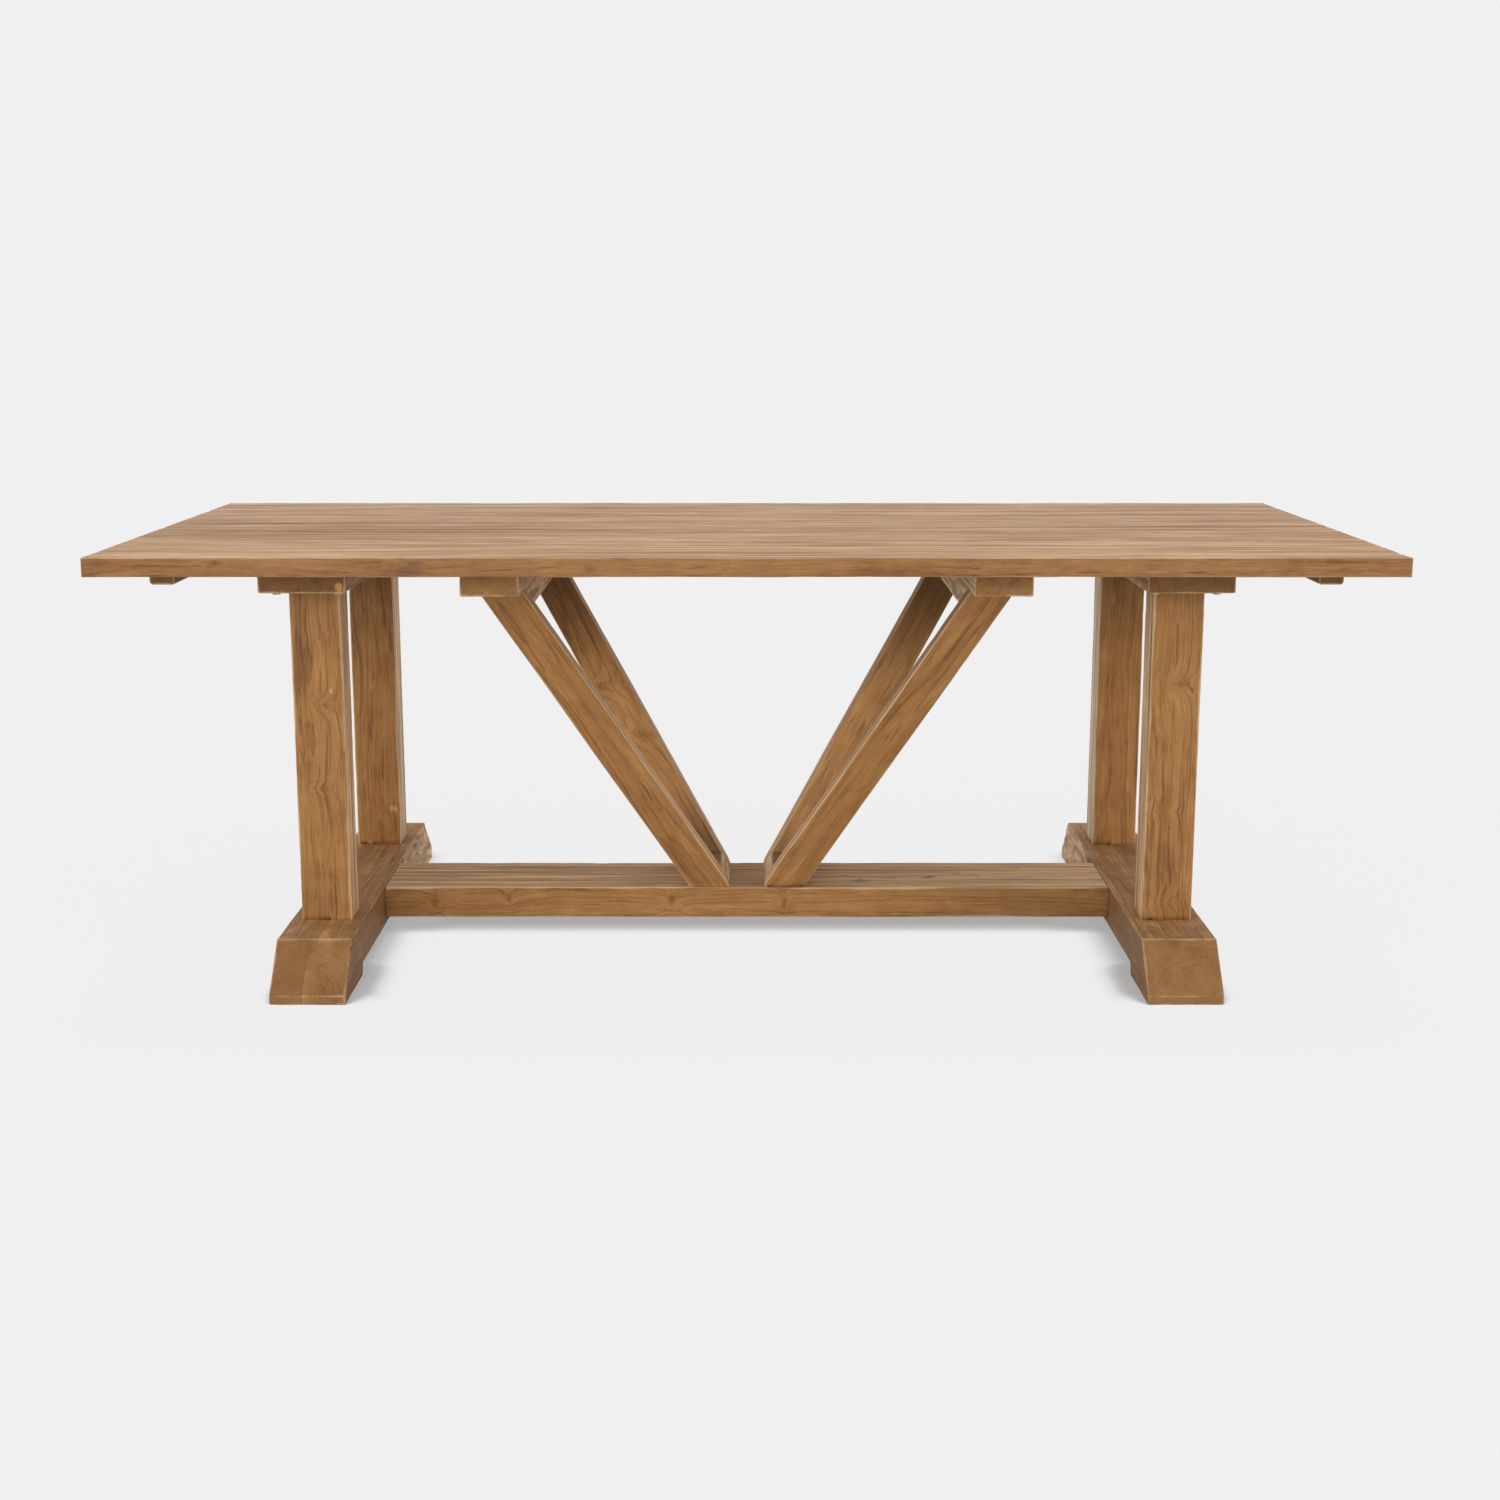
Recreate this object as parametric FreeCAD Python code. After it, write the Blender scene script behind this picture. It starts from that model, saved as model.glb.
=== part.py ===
import FreeCAD, Part
import math
import os

from FreeCAD import Vector

# Trestle dining table in solid wood. Lengths are in millimetres.
# The origin is on the floor under the middle of the top, +X runs along the top and +Z is up.

# Whole table
TABLE_HEIGHT = 776.0
EDGE_EASE = 3.0

# Top: boards laid lengthwise and joined edge to edge on loose tongues
TOP_LENGTH = 2200.0
TOP_WIDTH = 1000.0
TOP_THICKNESS = 32.0
BOARD_COUNT = 4
JOINT_BEVEL = 0.8
TONGUE_WIDTH = 24.0
TONGUE_THICKNESS = 10.0
TONGUE_STOP = 60.0

# End battens under the top
BATTEN_LENGTH = 740.0
BATTEN_WIDTH = 44.0
BATTEN_THICKNESS = 30.0
BATTEN_INSET = 95.0
BATTEN_EASE = 6.0

# Bearers under the top: one over each trestle and one over each pair of braces
BEARER_THICKNESS = 40.0
TRESTLE_BEARER_LENGTH = 810.0
TRESTLE_BEARER_WIDTH = 150.0
BRACE_BEARER_LENGTH = 890.0
BRACE_BEARER_WIDTH = 100.0
BRACE_BEARER_OFFSET = 433.0

# Trestle feet with sloped toes and a relief along the underside
TRESTLE_INSET = 342.0
FOOT_LENGTH = 985.0
FOOT_WIDTH = 132.0
FOOT_HEIGHT = 96.0
TOE_HEIGHT = 16.0
TOE_SLOPE_RUN = 75.0
RELIEF_LENGTH = 660.0
RELIEF_HEIGHT = 22.0
RELIEF_SLANT = 6.0

# Posts, tenoned into the feet and the trestle bearers
POST_WIDTH = 89.0
POST_DEPTH = 72.0
POST_SPREAD = 611.0
POST_SHOULDER = 18.0
FOOT_TENON_LENGTH = 45.0
BEARER_TENON_LENGTH = 28.0

# Stretcher between the feet, level with their tops
STRETCHER_WIDTH = 180.0
STRETCHER_THICKNESS = 59.0
STRETCHER_SHOULDER = 14.0
STRETCHER_TENON_LENGTH = 25.0

# Braces: a front and a rear V, leaning apart, with their outer faces flush with the stretcher below
BRACE_WIDTH = 67.0
BRACE_THICKNESS = 44.0
BRACE_FOOT_GAP = 60.0
BRACE_TOE_TRIM = 3.0
BRACE_HEAD_SPREAD = 660.0
HEAD_RAIL_HEIGHT = 36.0

# Filler blocks between the brace feet, tenoned into the stretcher
BLOCK_HEIGHT = 32.0
BLOCK_TENON_LENGTH = 20.0
BLOCK_TENON_WIDTH = 40.0
BLOCK_TENON_BREADTH = 60.0

# Loose tenons between the braces and the pieces that they clasp
LOOSE_TENON_WIDTH = 30.0
LOOSE_TENON_THICKNESS = 10.0
LOOSE_TENON_DEPTH = 16.0

# Clearances
WOOD_FIT = 0.2
THREAD_FIT = 0.15
HOLE_CLEARANCE = 0.5

# Hex bolts up through the trestle bearers into the top, on washers,
# and up through the head rails into the brace bearers, with flanges of the washers' size
BOLT_DIAMETER = 8.0
BOLT_HEAD_WIDTH = 13.0
BOLT_HEAD_HEIGHT = 5.3
WASHER_DIAMETER = 22.0
WASHER_THICKNESS = 1.6
BEARER_BOLT_SPACING = 106.0
BEARER_BOLT_INSET = 45.0
TOP_ENGAGEMENT = 22.0
HEAD_BOLT_SPACING = 400.0
HEAD_BOLT_ENGAGEMENT = 28.0

# Flanged furniture bolts that draw the stretcher into the feet
STRETCHER_BOLT_DIAMETER = 10.0
STRETCHER_BOLT_HEAD_WIDTH = 16.0
STRETCHER_BOLT_HEAD_HEIGHT = 6.4
STRETCHER_BOLT_TIP = 6.0
FLANGE_DIAMETER = 26.0
FLANGE_THICKNESS = 2.0
COUNTERBORE_DIAMETER = 30.0
COUNTERBORE_DEPTH = 12.0
BARREL_NUT_DIAMETER = 16.0
BARREL_NUT_LENGTH = 34.0
BARREL_NUT_SETBACK = 45.0

# Places that follow from the sizes above
half_length = TOP_LENGTH / 2
half_width = TOP_WIDTH / 2
board_width = TOP_WIDTH / BOARD_COUNT
top_underside = TABLE_HEIGHT - TOP_THICKNESS
bearer_underside = top_underside - BEARER_THICKNESS
trestle_x = half_length - TRESTLE_INSET
batten_x = half_length - BATTEN_INSET
post_outer_y = POST_SPREAD / 2
post_inner_y = post_outer_y - POST_DEPTH
post_middle_y = post_outer_y - POST_DEPTH / 2
foot_inner_x = trestle_x - FOOT_WIDTH / 2
foot_outer_x = trestle_x + FOOT_WIDTH / 2
stretcher_top = FOOT_HEIGHT
stretcher_underside = stretcher_top - STRETCHER_THICKNESS
stretcher_middle_z = stretcher_top - STRETCHER_THICKNESS / 2
stretcher_side_y = STRETCHER_WIDTH / 2
barrel_nut_x = foot_inner_x - BARREL_NUT_SETBACK
head_rail_underside = bearer_underside - HEAD_RAIL_HEIGHT
block_top = stretcher_top + BLOCK_HEIGHT

# Brace lines: the splay is seen from the end of the table, the lean from its side
brace_rise = bearer_underside - stretcher_top
brace_splay = math.atan((BRACE_HEAD_SPREAD / 2 - stretcher_side_y) / brace_rise)
brace_foot_x = BRACE_FOOT_GAP / 2
brace_toe_x = brace_foot_x + BRACE_TOE_TRIM
brace_head_run = BRACE_BEARER_OFFSET - brace_foot_x
brace_diagonal = math.hypot(brace_head_run, brace_rise)
brace_lean = math.acos(BRACE_WIDTH / 2 / brace_diagonal) - math.atan2(brace_rise, brace_head_run)
brace_level_width = BRACE_WIDTH / math.cos(brace_lean)
brace_level_thickness = BRACE_THICKNESS / math.cos(brace_splay)

# Bolt places on the right-hand half of the table, as (x, y) pairs
bearer_bolt_y = TRESTLE_BEARER_LENGTH / 2 - BEARER_BOLT_INSET
bearer_bolt_xs = (trestle_x - BEARER_BOLT_SPACING / 2, trestle_x + BEARER_BOLT_SPACING / 2)
bearer_bolt_places = [(x, y) for x in bearer_bolt_xs for y in (-bearer_bolt_y, bearer_bolt_y)]
head_bolt_places = [(BRACE_BEARER_OFFSET, side * HEAD_BOLT_SPACING / 2) for side in (-1, 1)]


def brace_x(z, share):
    """X on a brace at height z; share 0 is its upper edge and 1 its lower edge."""
    return brace_foot_x + share * brace_level_width + (z - stretcher_top) * math.tan(brace_lean)


# Shape helpers

def block(x0, x1, y0, y1, z0, z1):
    return Part.makeBox(x1 - x0, y1 - y0, z1 - z0, Vector(x0, y0, z0))


def prism(points, direction):
    wire = Part.makePolygon(points + points[:1])
    return Part.Face(wire).extrude(direction)


def ease(shape, wanted, size=EDGE_EASE):
    """Breaks the wanted edges with a small flat."""
    return shape.makeChamfer(size, [edge for edge in shape.Edges if wanted(edge)])


def eased_box(x0, x1, y0, y1, z0, z1):
    return ease(block(x0, x1, y0, y1, z0, z1), lambda edge: True)


def lies_along(axis):
    """Picks the straight edges that run along the axis."""
    return lambda edge: edge.tangentAt(edge.FirstParameter).cross(axis).Length < 1e-6


def starts_below(z):
    """Picks the edges that touch the underside of a piece whose eased edges end at z."""
    return lambda edge: edge.BoundBox.ZMin < z


def rod(x, y, z0, z1, diameter):
    return Part.makeCylinder(diameter / 2, z1 - z0, Vector(x, y, z0))


def rod_along_x(x0, x1, diameter):
    """Round bar on the axis of the stretcher."""
    return Part.makeCylinder(diameter / 2, x1 - x0, Vector(x0, 0, stretcher_middle_z), Vector(1, 0, 0))


def hexagon(width, height):
    """Hex head on the origin, standing up along +Z."""
    radius = width / math.sqrt(3)
    turns = [k * math.pi / 3 for k in range(6)]
    corners = [Vector(radius * math.cos(turn), radius * math.sin(turn), 0) for turn in turns]
    return prism(corners, Vector(0, 0, height))


def across_x(shape):
    return shape.mirror(Vector(0, 0, 0), Vector(1, 0, 0))


def across_y(shape):
    return shape.mirror(Vector(0, 0, 0), Vector(0, 1, 0))


def both_ends(shapes):
    """A group of separate solids: the right-hand ones and their left-hand copies."""
    return Part.makeCompound(shapes + [across_x(s) for s in shapes])


def on_both_ends(places):
    return places + [(-x, y) for x, y in places]


# Fasteners

def hex_bolt(x, y, seat_z, tip_z):
    """Upright bolt whose washer bears on the surface above it at seat_z."""
    head_top = seat_z - WASHER_THICKNESS
    head = hexagon(BOLT_HEAD_WIDTH, BOLT_HEAD_HEIGHT)
    head.translate(Vector(x, y, head_top - BOLT_HEAD_HEIGHT))
    return head.fuse(rod(x, y, head_top, tip_z, BOLT_DIAMETER)).removeSplitter()


def flanged_bolt(x, y, seat_z, tip_z):
    """Upright bolt with a flange in one piece with its head."""
    flange = rod(x, y, seat_z - WASHER_THICKNESS, seat_z, WASHER_DIAMETER)
    return hex_bolt(x, y, seat_z, tip_z).fuse(flange).removeSplitter()


def washer(x, y, seat_z):
    disc = rod(x, y, seat_z - WASHER_THICKNESS, seat_z, WASHER_DIAMETER)
    return disc.cut(rod(x, y, seat_z - WASHER_THICKNESS, seat_z, BOLT_DIAMETER + 2 * THREAD_FIT))


def bolt_hole(x, y, z0, z1):
    return rod(x, y, z0, z1, BOLT_DIAMETER + 2 * HOLE_CLEARANCE)


def thread_hole(x, y, z0, z1):
    return rod(x, y, z0, z1, BOLT_DIAMETER + 2 * THREAD_FIT)


def stretcher_bolt():
    """Bolt along X through the foot, its flange on the floor of the counterbore."""
    seat_x = foot_outer_x - COUNTERBORE_DEPTH
    head_x = seat_x + FLANGE_THICKNESS
    tip_x = barrel_nut_x - BARREL_NUT_DIAMETER / 2 - STRETCHER_BOLT_TIP
    head = hexagon(STRETCHER_BOLT_HEAD_WIDTH, STRETCHER_BOLT_HEAD_HEIGHT)
    head.rotate(Vector(0, 0, 0), Vector(0, 1, 0), 90)
    head.translate(Vector(head_x, 0, stretcher_middle_z))
    flange = rod_along_x(seat_x, head_x, FLANGE_DIAMETER)
    shank = rod_along_x(tip_x, seat_x, STRETCHER_BOLT_DIAMETER)
    return head.fuse([flange, shank]).removeSplitter()


def barrel_nut():
    low = stretcher_middle_z - BARREL_NUT_LENGTH / 2
    body = rod(barrel_nut_x, 0, low, low + BARREL_NUT_LENGTH, BARREL_NUT_DIAMETER)
    reach = BARREL_NUT_DIAMETER
    bore = STRETCHER_BOLT_DIAMETER + 2 * THREAD_FIT
    return body.cut(rod_along_x(barrel_nut_x - reach, barrel_nut_x + reach, bore))


def stretcher_bolt_hole(x0, x1):
    return rod_along_x(x0, x1, STRETCHER_BOLT_DIAMETER + 2 * HOLE_CLEARANCE)


# Top

def tongue(joint_y, room=0.0):
    """Loose tongue in the joint at joint_y; room widens it into the pocket that takes it."""
    reach = half_length - TONGUE_STOP + room
    side = TONGUE_WIDTH / 2 + room
    middle_z = TABLE_HEIGHT - TOP_THICKNESS / 2
    height = TONGUE_THICKNESS / 2 + room
    return block(-reach, reach, joint_y - side, joint_y + side, middle_z - height, middle_z + height)


def joint_groove(joint_y):
    """Small V along the top of a joint, where the two boards' edges are bevelled."""
    corners = [
        Vector(-half_length, joint_y - JOINT_BEVEL, TABLE_HEIGHT),
        Vector(-half_length, joint_y, TABLE_HEIGHT - JOINT_BEVEL),
        Vector(-half_length, joint_y + JOINT_BEVEL, TABLE_HEIGHT),
    ]
    return prism(corners, Vector(TOP_LENGTH, 0, 0))


joint_ys = [-half_width + board_width * i for i in range(1, BOARD_COUNT)]


def top_panel():
    """The whole top with its eased outer edges, before it is divided into boards."""
    return eased_box(-half_length, half_length, -half_width, half_width, top_underside, TABLE_HEIGHT)


def top_board(index):
    low_y = -half_width + board_width * index
    high_y = low_y + board_width
    span = block(-half_length, half_length, low_y, high_y, top_underside, TABLE_HEIGHT)
    board = top_panel().common(span)
    cuts = []
    for joint_y in joint_ys:
        if low_y <= joint_y <= high_y:
            cuts += [tongue(joint_y, WOOD_FIT), joint_groove(joint_y)]
    for x, y in on_both_ends(bearer_bolt_places):
        if low_y < y < high_y:
            cuts.append(thread_hole(x, y, top_underside, top_underside + TOP_ENGAGEMENT + WOOD_FIT))
    return board.cut(cuts)


def end_batten():
    reach = BATTEN_LENGTH / 2
    low_z = top_underside - BATTEN_THICKNESS
    side = BATTEN_WIDTH / 2
    batten = block(batten_x - side, batten_x + side, -reach, reach, low_z, top_underside)
    return ease(batten, starts_below(low_z + BATTEN_EASE), BATTEN_EASE)


# Bearers

def bearer(middle_x, width, length):
    side = width / 2
    reach = length / 2
    solid = block(middle_x - side, middle_x + side, -reach, reach, bearer_underside, top_underside)
    return ease(solid, starts_below(bearer_underside + EDGE_EASE))


def post_tenon(z0, z1, room=0.0):
    """Tenon of the front right post; room widens it into its mortise."""
    side = POST_WIDTH / 2 - POST_SHOULDER + room
    depth = POST_DEPTH / 2 - POST_SHOULDER + room
    return block(trestle_x - side, trestle_x + side, -post_middle_y - depth, -post_middle_y + depth, z0, z1)


def trestle_bearer():
    solid = bearer(trestle_x, TRESTLE_BEARER_WIDTH, TRESTLE_BEARER_LENGTH)
    mortise = post_tenon(bearer_underside, bearer_underside + BEARER_TENON_LENGTH + WOOD_FIT, WOOD_FIT)
    holes = [bolt_hole(x, y, bearer_underside, top_underside) for x, y in bearer_bolt_places]
    return solid.cut([mortise, across_y(mortise)] + holes)


def brace_bearer():
    solid = bearer(BRACE_BEARER_OFFSET, BRACE_BEARER_WIDTH, BRACE_BEARER_LENGTH)
    tip_z = bearer_underside + HEAD_BOLT_ENGAGEMENT + WOOD_FIT
    return solid.cut([thread_hole(x, y, bearer_underside, tip_z) for x, y in head_bolt_places])


# Trestles

def post():
    side = POST_WIDTH / 2
    shaft = block(
        trestle_x - side, trestle_x + side, -post_outer_y, -post_inner_y, FOOT_HEIGHT, bearer_underside)
    shaft = ease(shaft, lies_along(Vector(0, 0, 1)))
    lower_tenon = post_tenon(FOOT_HEIGHT - FOOT_TENON_LENGTH, FOOT_HEIGHT)
    upper_tenon = post_tenon(bearer_underside, bearer_underside + BEARER_TENON_LENGTH)
    return shaft.fuse([lower_tenon, upper_tenon])


def foot_outline():
    """Side view of a foot, from the front toe round to the rear one."""
    reach = FOOT_LENGTH / 2
    relief = RELIEF_LENGTH / 2
    front = [
        (-relief + RELIEF_SLANT, RELIEF_HEIGHT),
        (-relief, 0.0),
        (-reach, 0.0),
        (-reach, TOE_HEIGHT),
        (-reach + TOE_SLOPE_RUN, FOOT_HEIGHT),
    ]
    rear = [(-y, z) for y, z in reversed(front)]
    return [Vector(foot_inner_x, y, z) for y, z in front + rear]


def foot():
    solid = prism(foot_outline(), Vector(FOOT_WIDTH, 0, 0))
    solid = ease(solid, lambda edge: edge.BoundBox.ZMax > RELIEF_HEIGHT + EDGE_EASE)
    mortise = post_tenon(FOOT_HEIGHT - FOOT_TENON_LENGTH - WOOD_FIT, FOOT_HEIGHT, WOOD_FIT)
    counterbore = rod_along_x(foot_outer_x - COUNTERBORE_DEPTH, foot_outer_x, COUNTERBORE_DIAMETER)
    bolt_way = stretcher_bolt_hole(foot_inner_x, foot_outer_x)
    return solid.cut([mortise, across_y(mortise), stretcher_tenon(WOOD_FIT), counterbore, bolt_way])


# Stretcher

def stretcher_tenon(room=0.0):
    """Stub tenon at the right-hand end; room widens it into its mortise."""
    side = stretcher_side_y - STRETCHER_SHOULDER + room
    height = STRETCHER_THICKNESS / 2 - STRETCHER_SHOULDER + room
    end_x = foot_inner_x + STRETCHER_TENON_LENGTH + room
    return block(
        foot_inner_x, end_x, -side, side, stretcher_middle_z - height, stretcher_middle_z + height)


def block_tenon(room=0.0):
    """Tenon under the right-hand filler block; room widens it into its mortise."""
    middle_x = brace_x(stretcher_top, 0.5)
    side = BLOCK_TENON_WIDTH / 2 + room
    breadth = BLOCK_TENON_BREADTH / 2 + room
    low_z = stretcher_top - BLOCK_TENON_LENGTH - room
    return block(middle_x - side, middle_x + side, -breadth, breadth, low_z, stretcher_top)


def stretcher():
    plank = eased_box(
        -foot_inner_x, foot_inner_x, -stretcher_side_y, stretcher_side_y, stretcher_underside, stretcher_top)
    plank = plank.fuse([stretcher_tenon(), across_x(stretcher_tenon())])
    nut_top = stretcher_middle_z + BARREL_NUT_LENGTH / 2
    nut_hole = rod(barrel_nut_x, 0, stretcher_underside, nut_top, BARREL_NUT_DIAMETER + 2 * THREAD_FIT)
    tip_x = barrel_nut_x - BARREL_NUT_DIAMETER / 2 - STRETCHER_BOLT_TIP - WOOD_FIT
    bolt_way = stretcher_bolt_hole(tip_x, foot_inner_x + STRETCHER_TENON_LENGTH)
    right_cuts = [nut_hole, bolt_way, block_tenon(WOOD_FIT)]
    return plank.cut(right_cuts + [across_x(cut) for cut in right_cuts])


# Braces

def tilted(shape):
    """Tilts a shape made upright on the stretcher's front top edge into the plane of the front V."""
    shape.rotate(Vector(0, -stretcher_side_y, stretcher_top), Vector(1, 0, 0), math.degrees(brace_splay))
    return shape


def loose_tenon(z, room=0.0):
    """Loose tenon through the back of the front right brace at height z; room makes its pocket."""
    run_up = (z - stretcher_top - BRACE_THICKNESS * math.sin(brace_splay)) / math.cos(brace_splay)
    middle_x = brace_x(z, 0.5)
    back_y = -stretcher_side_y + BRACE_THICKNESS
    depth = LOOSE_TENON_DEPTH + room
    side = LOOSE_TENON_WIDTH / 2 + room
    height = LOOSE_TENON_THICKNESS / 2 + room
    level = stretcher_top + run_up
    return tilted(block(
        middle_x - side, middle_x + side, back_y - depth, back_y + depth, level - height, level + height))


loose_tenon_zs = (stretcher_top + BLOCK_HEIGHT / 2, bearer_underside - HEAD_RAIL_HEIGHT / 2)


def brace():
    """Front right brace, level at the stretcher and the bearer and upright at its toe."""
    front_y = -stretcher_side_y
    back_y = front_y + brace_level_thickness
    corners = [
        Vector(brace_x(stretcher_top, share), y, stretcher_top)
        for share, y in ((0.0, front_y), (1.0, front_y), (1.0, back_y), (0.0, back_y))
    ]
    slant = Vector(math.tan(brace_lean), -math.tan(brace_splay), 1)
    plank = ease(prism(corners, slant * brace_rise), lies_along(slant))
    toe = block(0, brace_toe_x, -half_width, half_width, stretcher_top, bearer_underside)
    return plank.cut([toe] + [loose_tenon(z, WOOD_FIT) for z in loose_tenon_zs])


def between_braces(z0, z1):
    """The space between the backs of the front and rear braces, from z0 to z1, open along X."""
    back_y = stretcher_side_y - brace_level_thickness
    spread = math.tan(brace_splay)
    low_y = back_y + (z0 - stretcher_top) * spread
    high_y = back_y + (z1 - stretcher_top) * spread
    corners = [Vector(0, -low_y, z0), Vector(0, low_y, z0), Vector(0, high_y, z1), Vector(0, -high_y, z1)]
    return prism(corners, Vector(half_length, 0, 0))


def brace_pockets(z):
    pocket = loose_tenon(z, WOOD_FIT)
    return [pocket, across_y(pocket)]


def brace_filler(z0, z1):
    """Timber that fills the space between two braces from z0 to z1, with its faces in line with theirs."""
    corners = [
        Vector(brace_x(z, share), -half_width, z)
        for share, z in ((0.0, z0), (1.0, z0), (1.0, z1), (0.0, z1))
    ]
    return prism(corners, Vector(0, TOP_WIDTH, 0))


def brace_block():
    """Filler block between the two braces on the stretcher."""
    solid = brace_filler(stretcher_top, block_top).common(between_braces(stretcher_top, block_top))
    toe = block(0, brace_toe_x, -half_width, half_width, stretcher_top, block_top)
    return solid.cut([toe] + brace_pockets(loose_tenon_zs[0])).fuse(block_tenon())


def brace_head_rail():
    """Rail between the heads of the two braces, under the bearer."""
    beam = brace_filler(head_rail_underside, bearer_underside)
    beam = ease(beam, lambda edge: edge.BoundBox.ZMax < head_rail_underside + EDGE_EASE)
    solid = beam.common(between_braces(head_rail_underside, bearer_underside))
    holes = [bolt_hole(x, y, head_rail_underside, bearer_underside) for x, y in head_bolt_places]
    return solid.cut(brace_pockets(loose_tenon_zs[1]) + holes)


# All nodes

def front_right(shape):
    return {"right_front": shape, "right_rear": across_y(shape),
            "left_front": across_x(shape), "left_rear": across_x(across_y(shape))}


def table_nodes():
    nodes = {}
    for index in range(BOARD_COUNT):
        nodes[f"top_board_{index + 1}"] = top_board(index)
    nodes["top_tongues"] = Part.makeCompound([tongue(y) for y in joint_ys])
    pairs = {
        "end_batten": end_batten(),
        "trestle_bearer": trestle_bearer(),
        "brace_bearer": brace_bearer(),
        "brace_head_rail": brace_head_rail(),
        "brace_block": brace_block(),
        "foot": foot(),
    }
    for name, shape in pairs.items():
        nodes[f"{name}_right"] = shape
        nodes[f"{name}_left"] = across_x(shape)
    for name, shape in (("post", post()), ("brace", brace())):
        for place, copy in front_right(shape).items():
            nodes[f"{name}_{place}"] = copy
    nodes["stretcher"] = stretcher()
    nodes["brace_loose_tenons"] = Part.makeCompound(
        [copy for z in loose_tenon_zs for copy in front_right(loose_tenon(z)).values()])
    nodes.update(fastener_nodes())
    return nodes


def fastener_nodes():
    top_tip = top_underside + TOP_ENGAGEMENT
    head_tip = bearer_underside + HEAD_BOLT_ENGAGEMENT
    bearer_bolts = [hex_bolt(x, y, bearer_underside, top_tip) for x, y in bearer_bolt_places]
    bearer_washers = [washer(x, y, bearer_underside) for x, y in bearer_bolt_places]
    head_bolts = [flanged_bolt(x, y, head_rail_underside, head_tip) for x, y in head_bolt_places]
    return {
        "bearer_bolts": both_ends(bearer_bolts),
        "bearer_washers": both_ends(bearer_washers),
        "head_rail_bolts": both_ends(head_bolts),
        "stretcher_bolts": both_ends([stretcher_bolt()]),
        "stretcher_barrel_nuts": both_ends([barrel_nut()]),
    }


os.makedirs("parts", exist_ok=True)
for node_name, node_shape in table_nodes().items():
    node_shape.exportStep(f"parts/{node_name}.step")
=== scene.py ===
"""Teak trestle dining table: weathered timbers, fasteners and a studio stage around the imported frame."""

import math

import bpy
import numpy as np
from bpy.props import FloatProperty, FloatVectorProperty, IntProperty, PointerProperty
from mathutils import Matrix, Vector


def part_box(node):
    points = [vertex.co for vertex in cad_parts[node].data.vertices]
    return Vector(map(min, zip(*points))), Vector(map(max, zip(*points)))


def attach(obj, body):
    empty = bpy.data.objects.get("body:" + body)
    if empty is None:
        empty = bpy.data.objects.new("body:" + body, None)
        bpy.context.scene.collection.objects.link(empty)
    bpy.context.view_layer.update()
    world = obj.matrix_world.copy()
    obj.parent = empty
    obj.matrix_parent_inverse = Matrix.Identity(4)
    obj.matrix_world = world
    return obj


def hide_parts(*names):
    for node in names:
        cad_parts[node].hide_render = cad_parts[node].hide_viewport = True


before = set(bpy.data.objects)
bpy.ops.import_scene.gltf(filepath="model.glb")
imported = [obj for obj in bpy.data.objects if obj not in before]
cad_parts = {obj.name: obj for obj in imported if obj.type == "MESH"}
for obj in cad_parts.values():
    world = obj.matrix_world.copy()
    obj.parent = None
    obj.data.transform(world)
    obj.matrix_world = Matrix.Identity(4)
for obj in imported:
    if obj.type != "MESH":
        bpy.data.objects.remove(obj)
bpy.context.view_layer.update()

bl_info = {
    "name": "Trestle Dining Table",
    "version": (1, 0, 0),
    "blender": (4, 5, 0),
    "location": "View3D > Sidebar > Table",
    "description": "Dresses the timbers and fasteners of a teak trestle table and sets its studio stage",
    "category": "Object",
}

BODY = "root"
AXES = "xyz"

# Angles from a face to the corner of its rounded edge, where the grid has extra lines
ARC_ANGLES = (45, 30, 15)

# Seed step between the two glued pieces of a timber
SEAM_SEED_STEP = 20.0

# Relief that counts as full bark, and the tone of full bark
BARK_RELIEF = 0.005
BARK_TONE = 1.42

# How far past its ends a cut hole is still found, and the painted shade inside it, as a tone
HOLE_SLACK = 0.002
HOLE_PAINTED_SHADE = 0.8

# Distance over which the bark edge comes up, and the least edge distance along the toe's pale line, which is
# partly wear and partly a painted highlight on its crease
BARK_FADE = 0.05
TOE_WEAR_AND_HIGHLIGHT = 0.0012

# Play of the barrel nuts in their holes
NUT_PLAY = 0.00015

# Collar of a bolt without a flange, against its head's width and a flange's thickness
COLLAR_WIDTH = 0.95
COLLAR_THICKNESS = 0.25

# Places of the screws, as shares of the length and the width of a batten or bearer
BATTEN_SCREWS = (0.08, 0.5, 0.92)
BEARER_SCREWS = (0.06, 0.94)
BEARER_SCREW_ROWS = (0.25, 0.75)

# Width of the camera's sensor in millimetres
SENSOR_WIDTH = 36.0

# Direction in which the painted contact shadow looks for the table
SHADOW_AIM = (0.0, -0.995, -0.0995)

# Half the width of the floor
FLOOR_REACH = 30.0

# Places on the floor, in metres from its middle, between which the painted contact shadow changes
FEET_FROM = 0.56
FEET_TO = 0.64
OUTSIDE_FROM = 0.80
OUTSIDE_TO = 0.86
REAR_FROM = 0.05
REAR_TO = 0.20

# Floor tone in the middle of the painted contact shadow
SHADOW_TONE = (0.405, 0.398, 0.390, 1.0)


def srgb(red, green, blue):
    """Linear colour of a tone given in 8-bit screen values."""
    def linear(value):
        value /= 255
        return value / 12.92 if value <= 0.04045 else ((value + 0.055) / 1.055) ** 2.4
    return linear(red), linear(green), linear(blue)


# Settings

def length(name, description, default):
    """A setting in metres."""
    return FloatProperty(name=name, description=description, default=default, min=0.0, unit="LENGTH")


def colour(name, description, default):
    """A colour setting."""
    return FloatVectorProperty(name=name, description=description, default=default, subtype="COLOR",
                               min=0.0, max=1.0)


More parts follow.
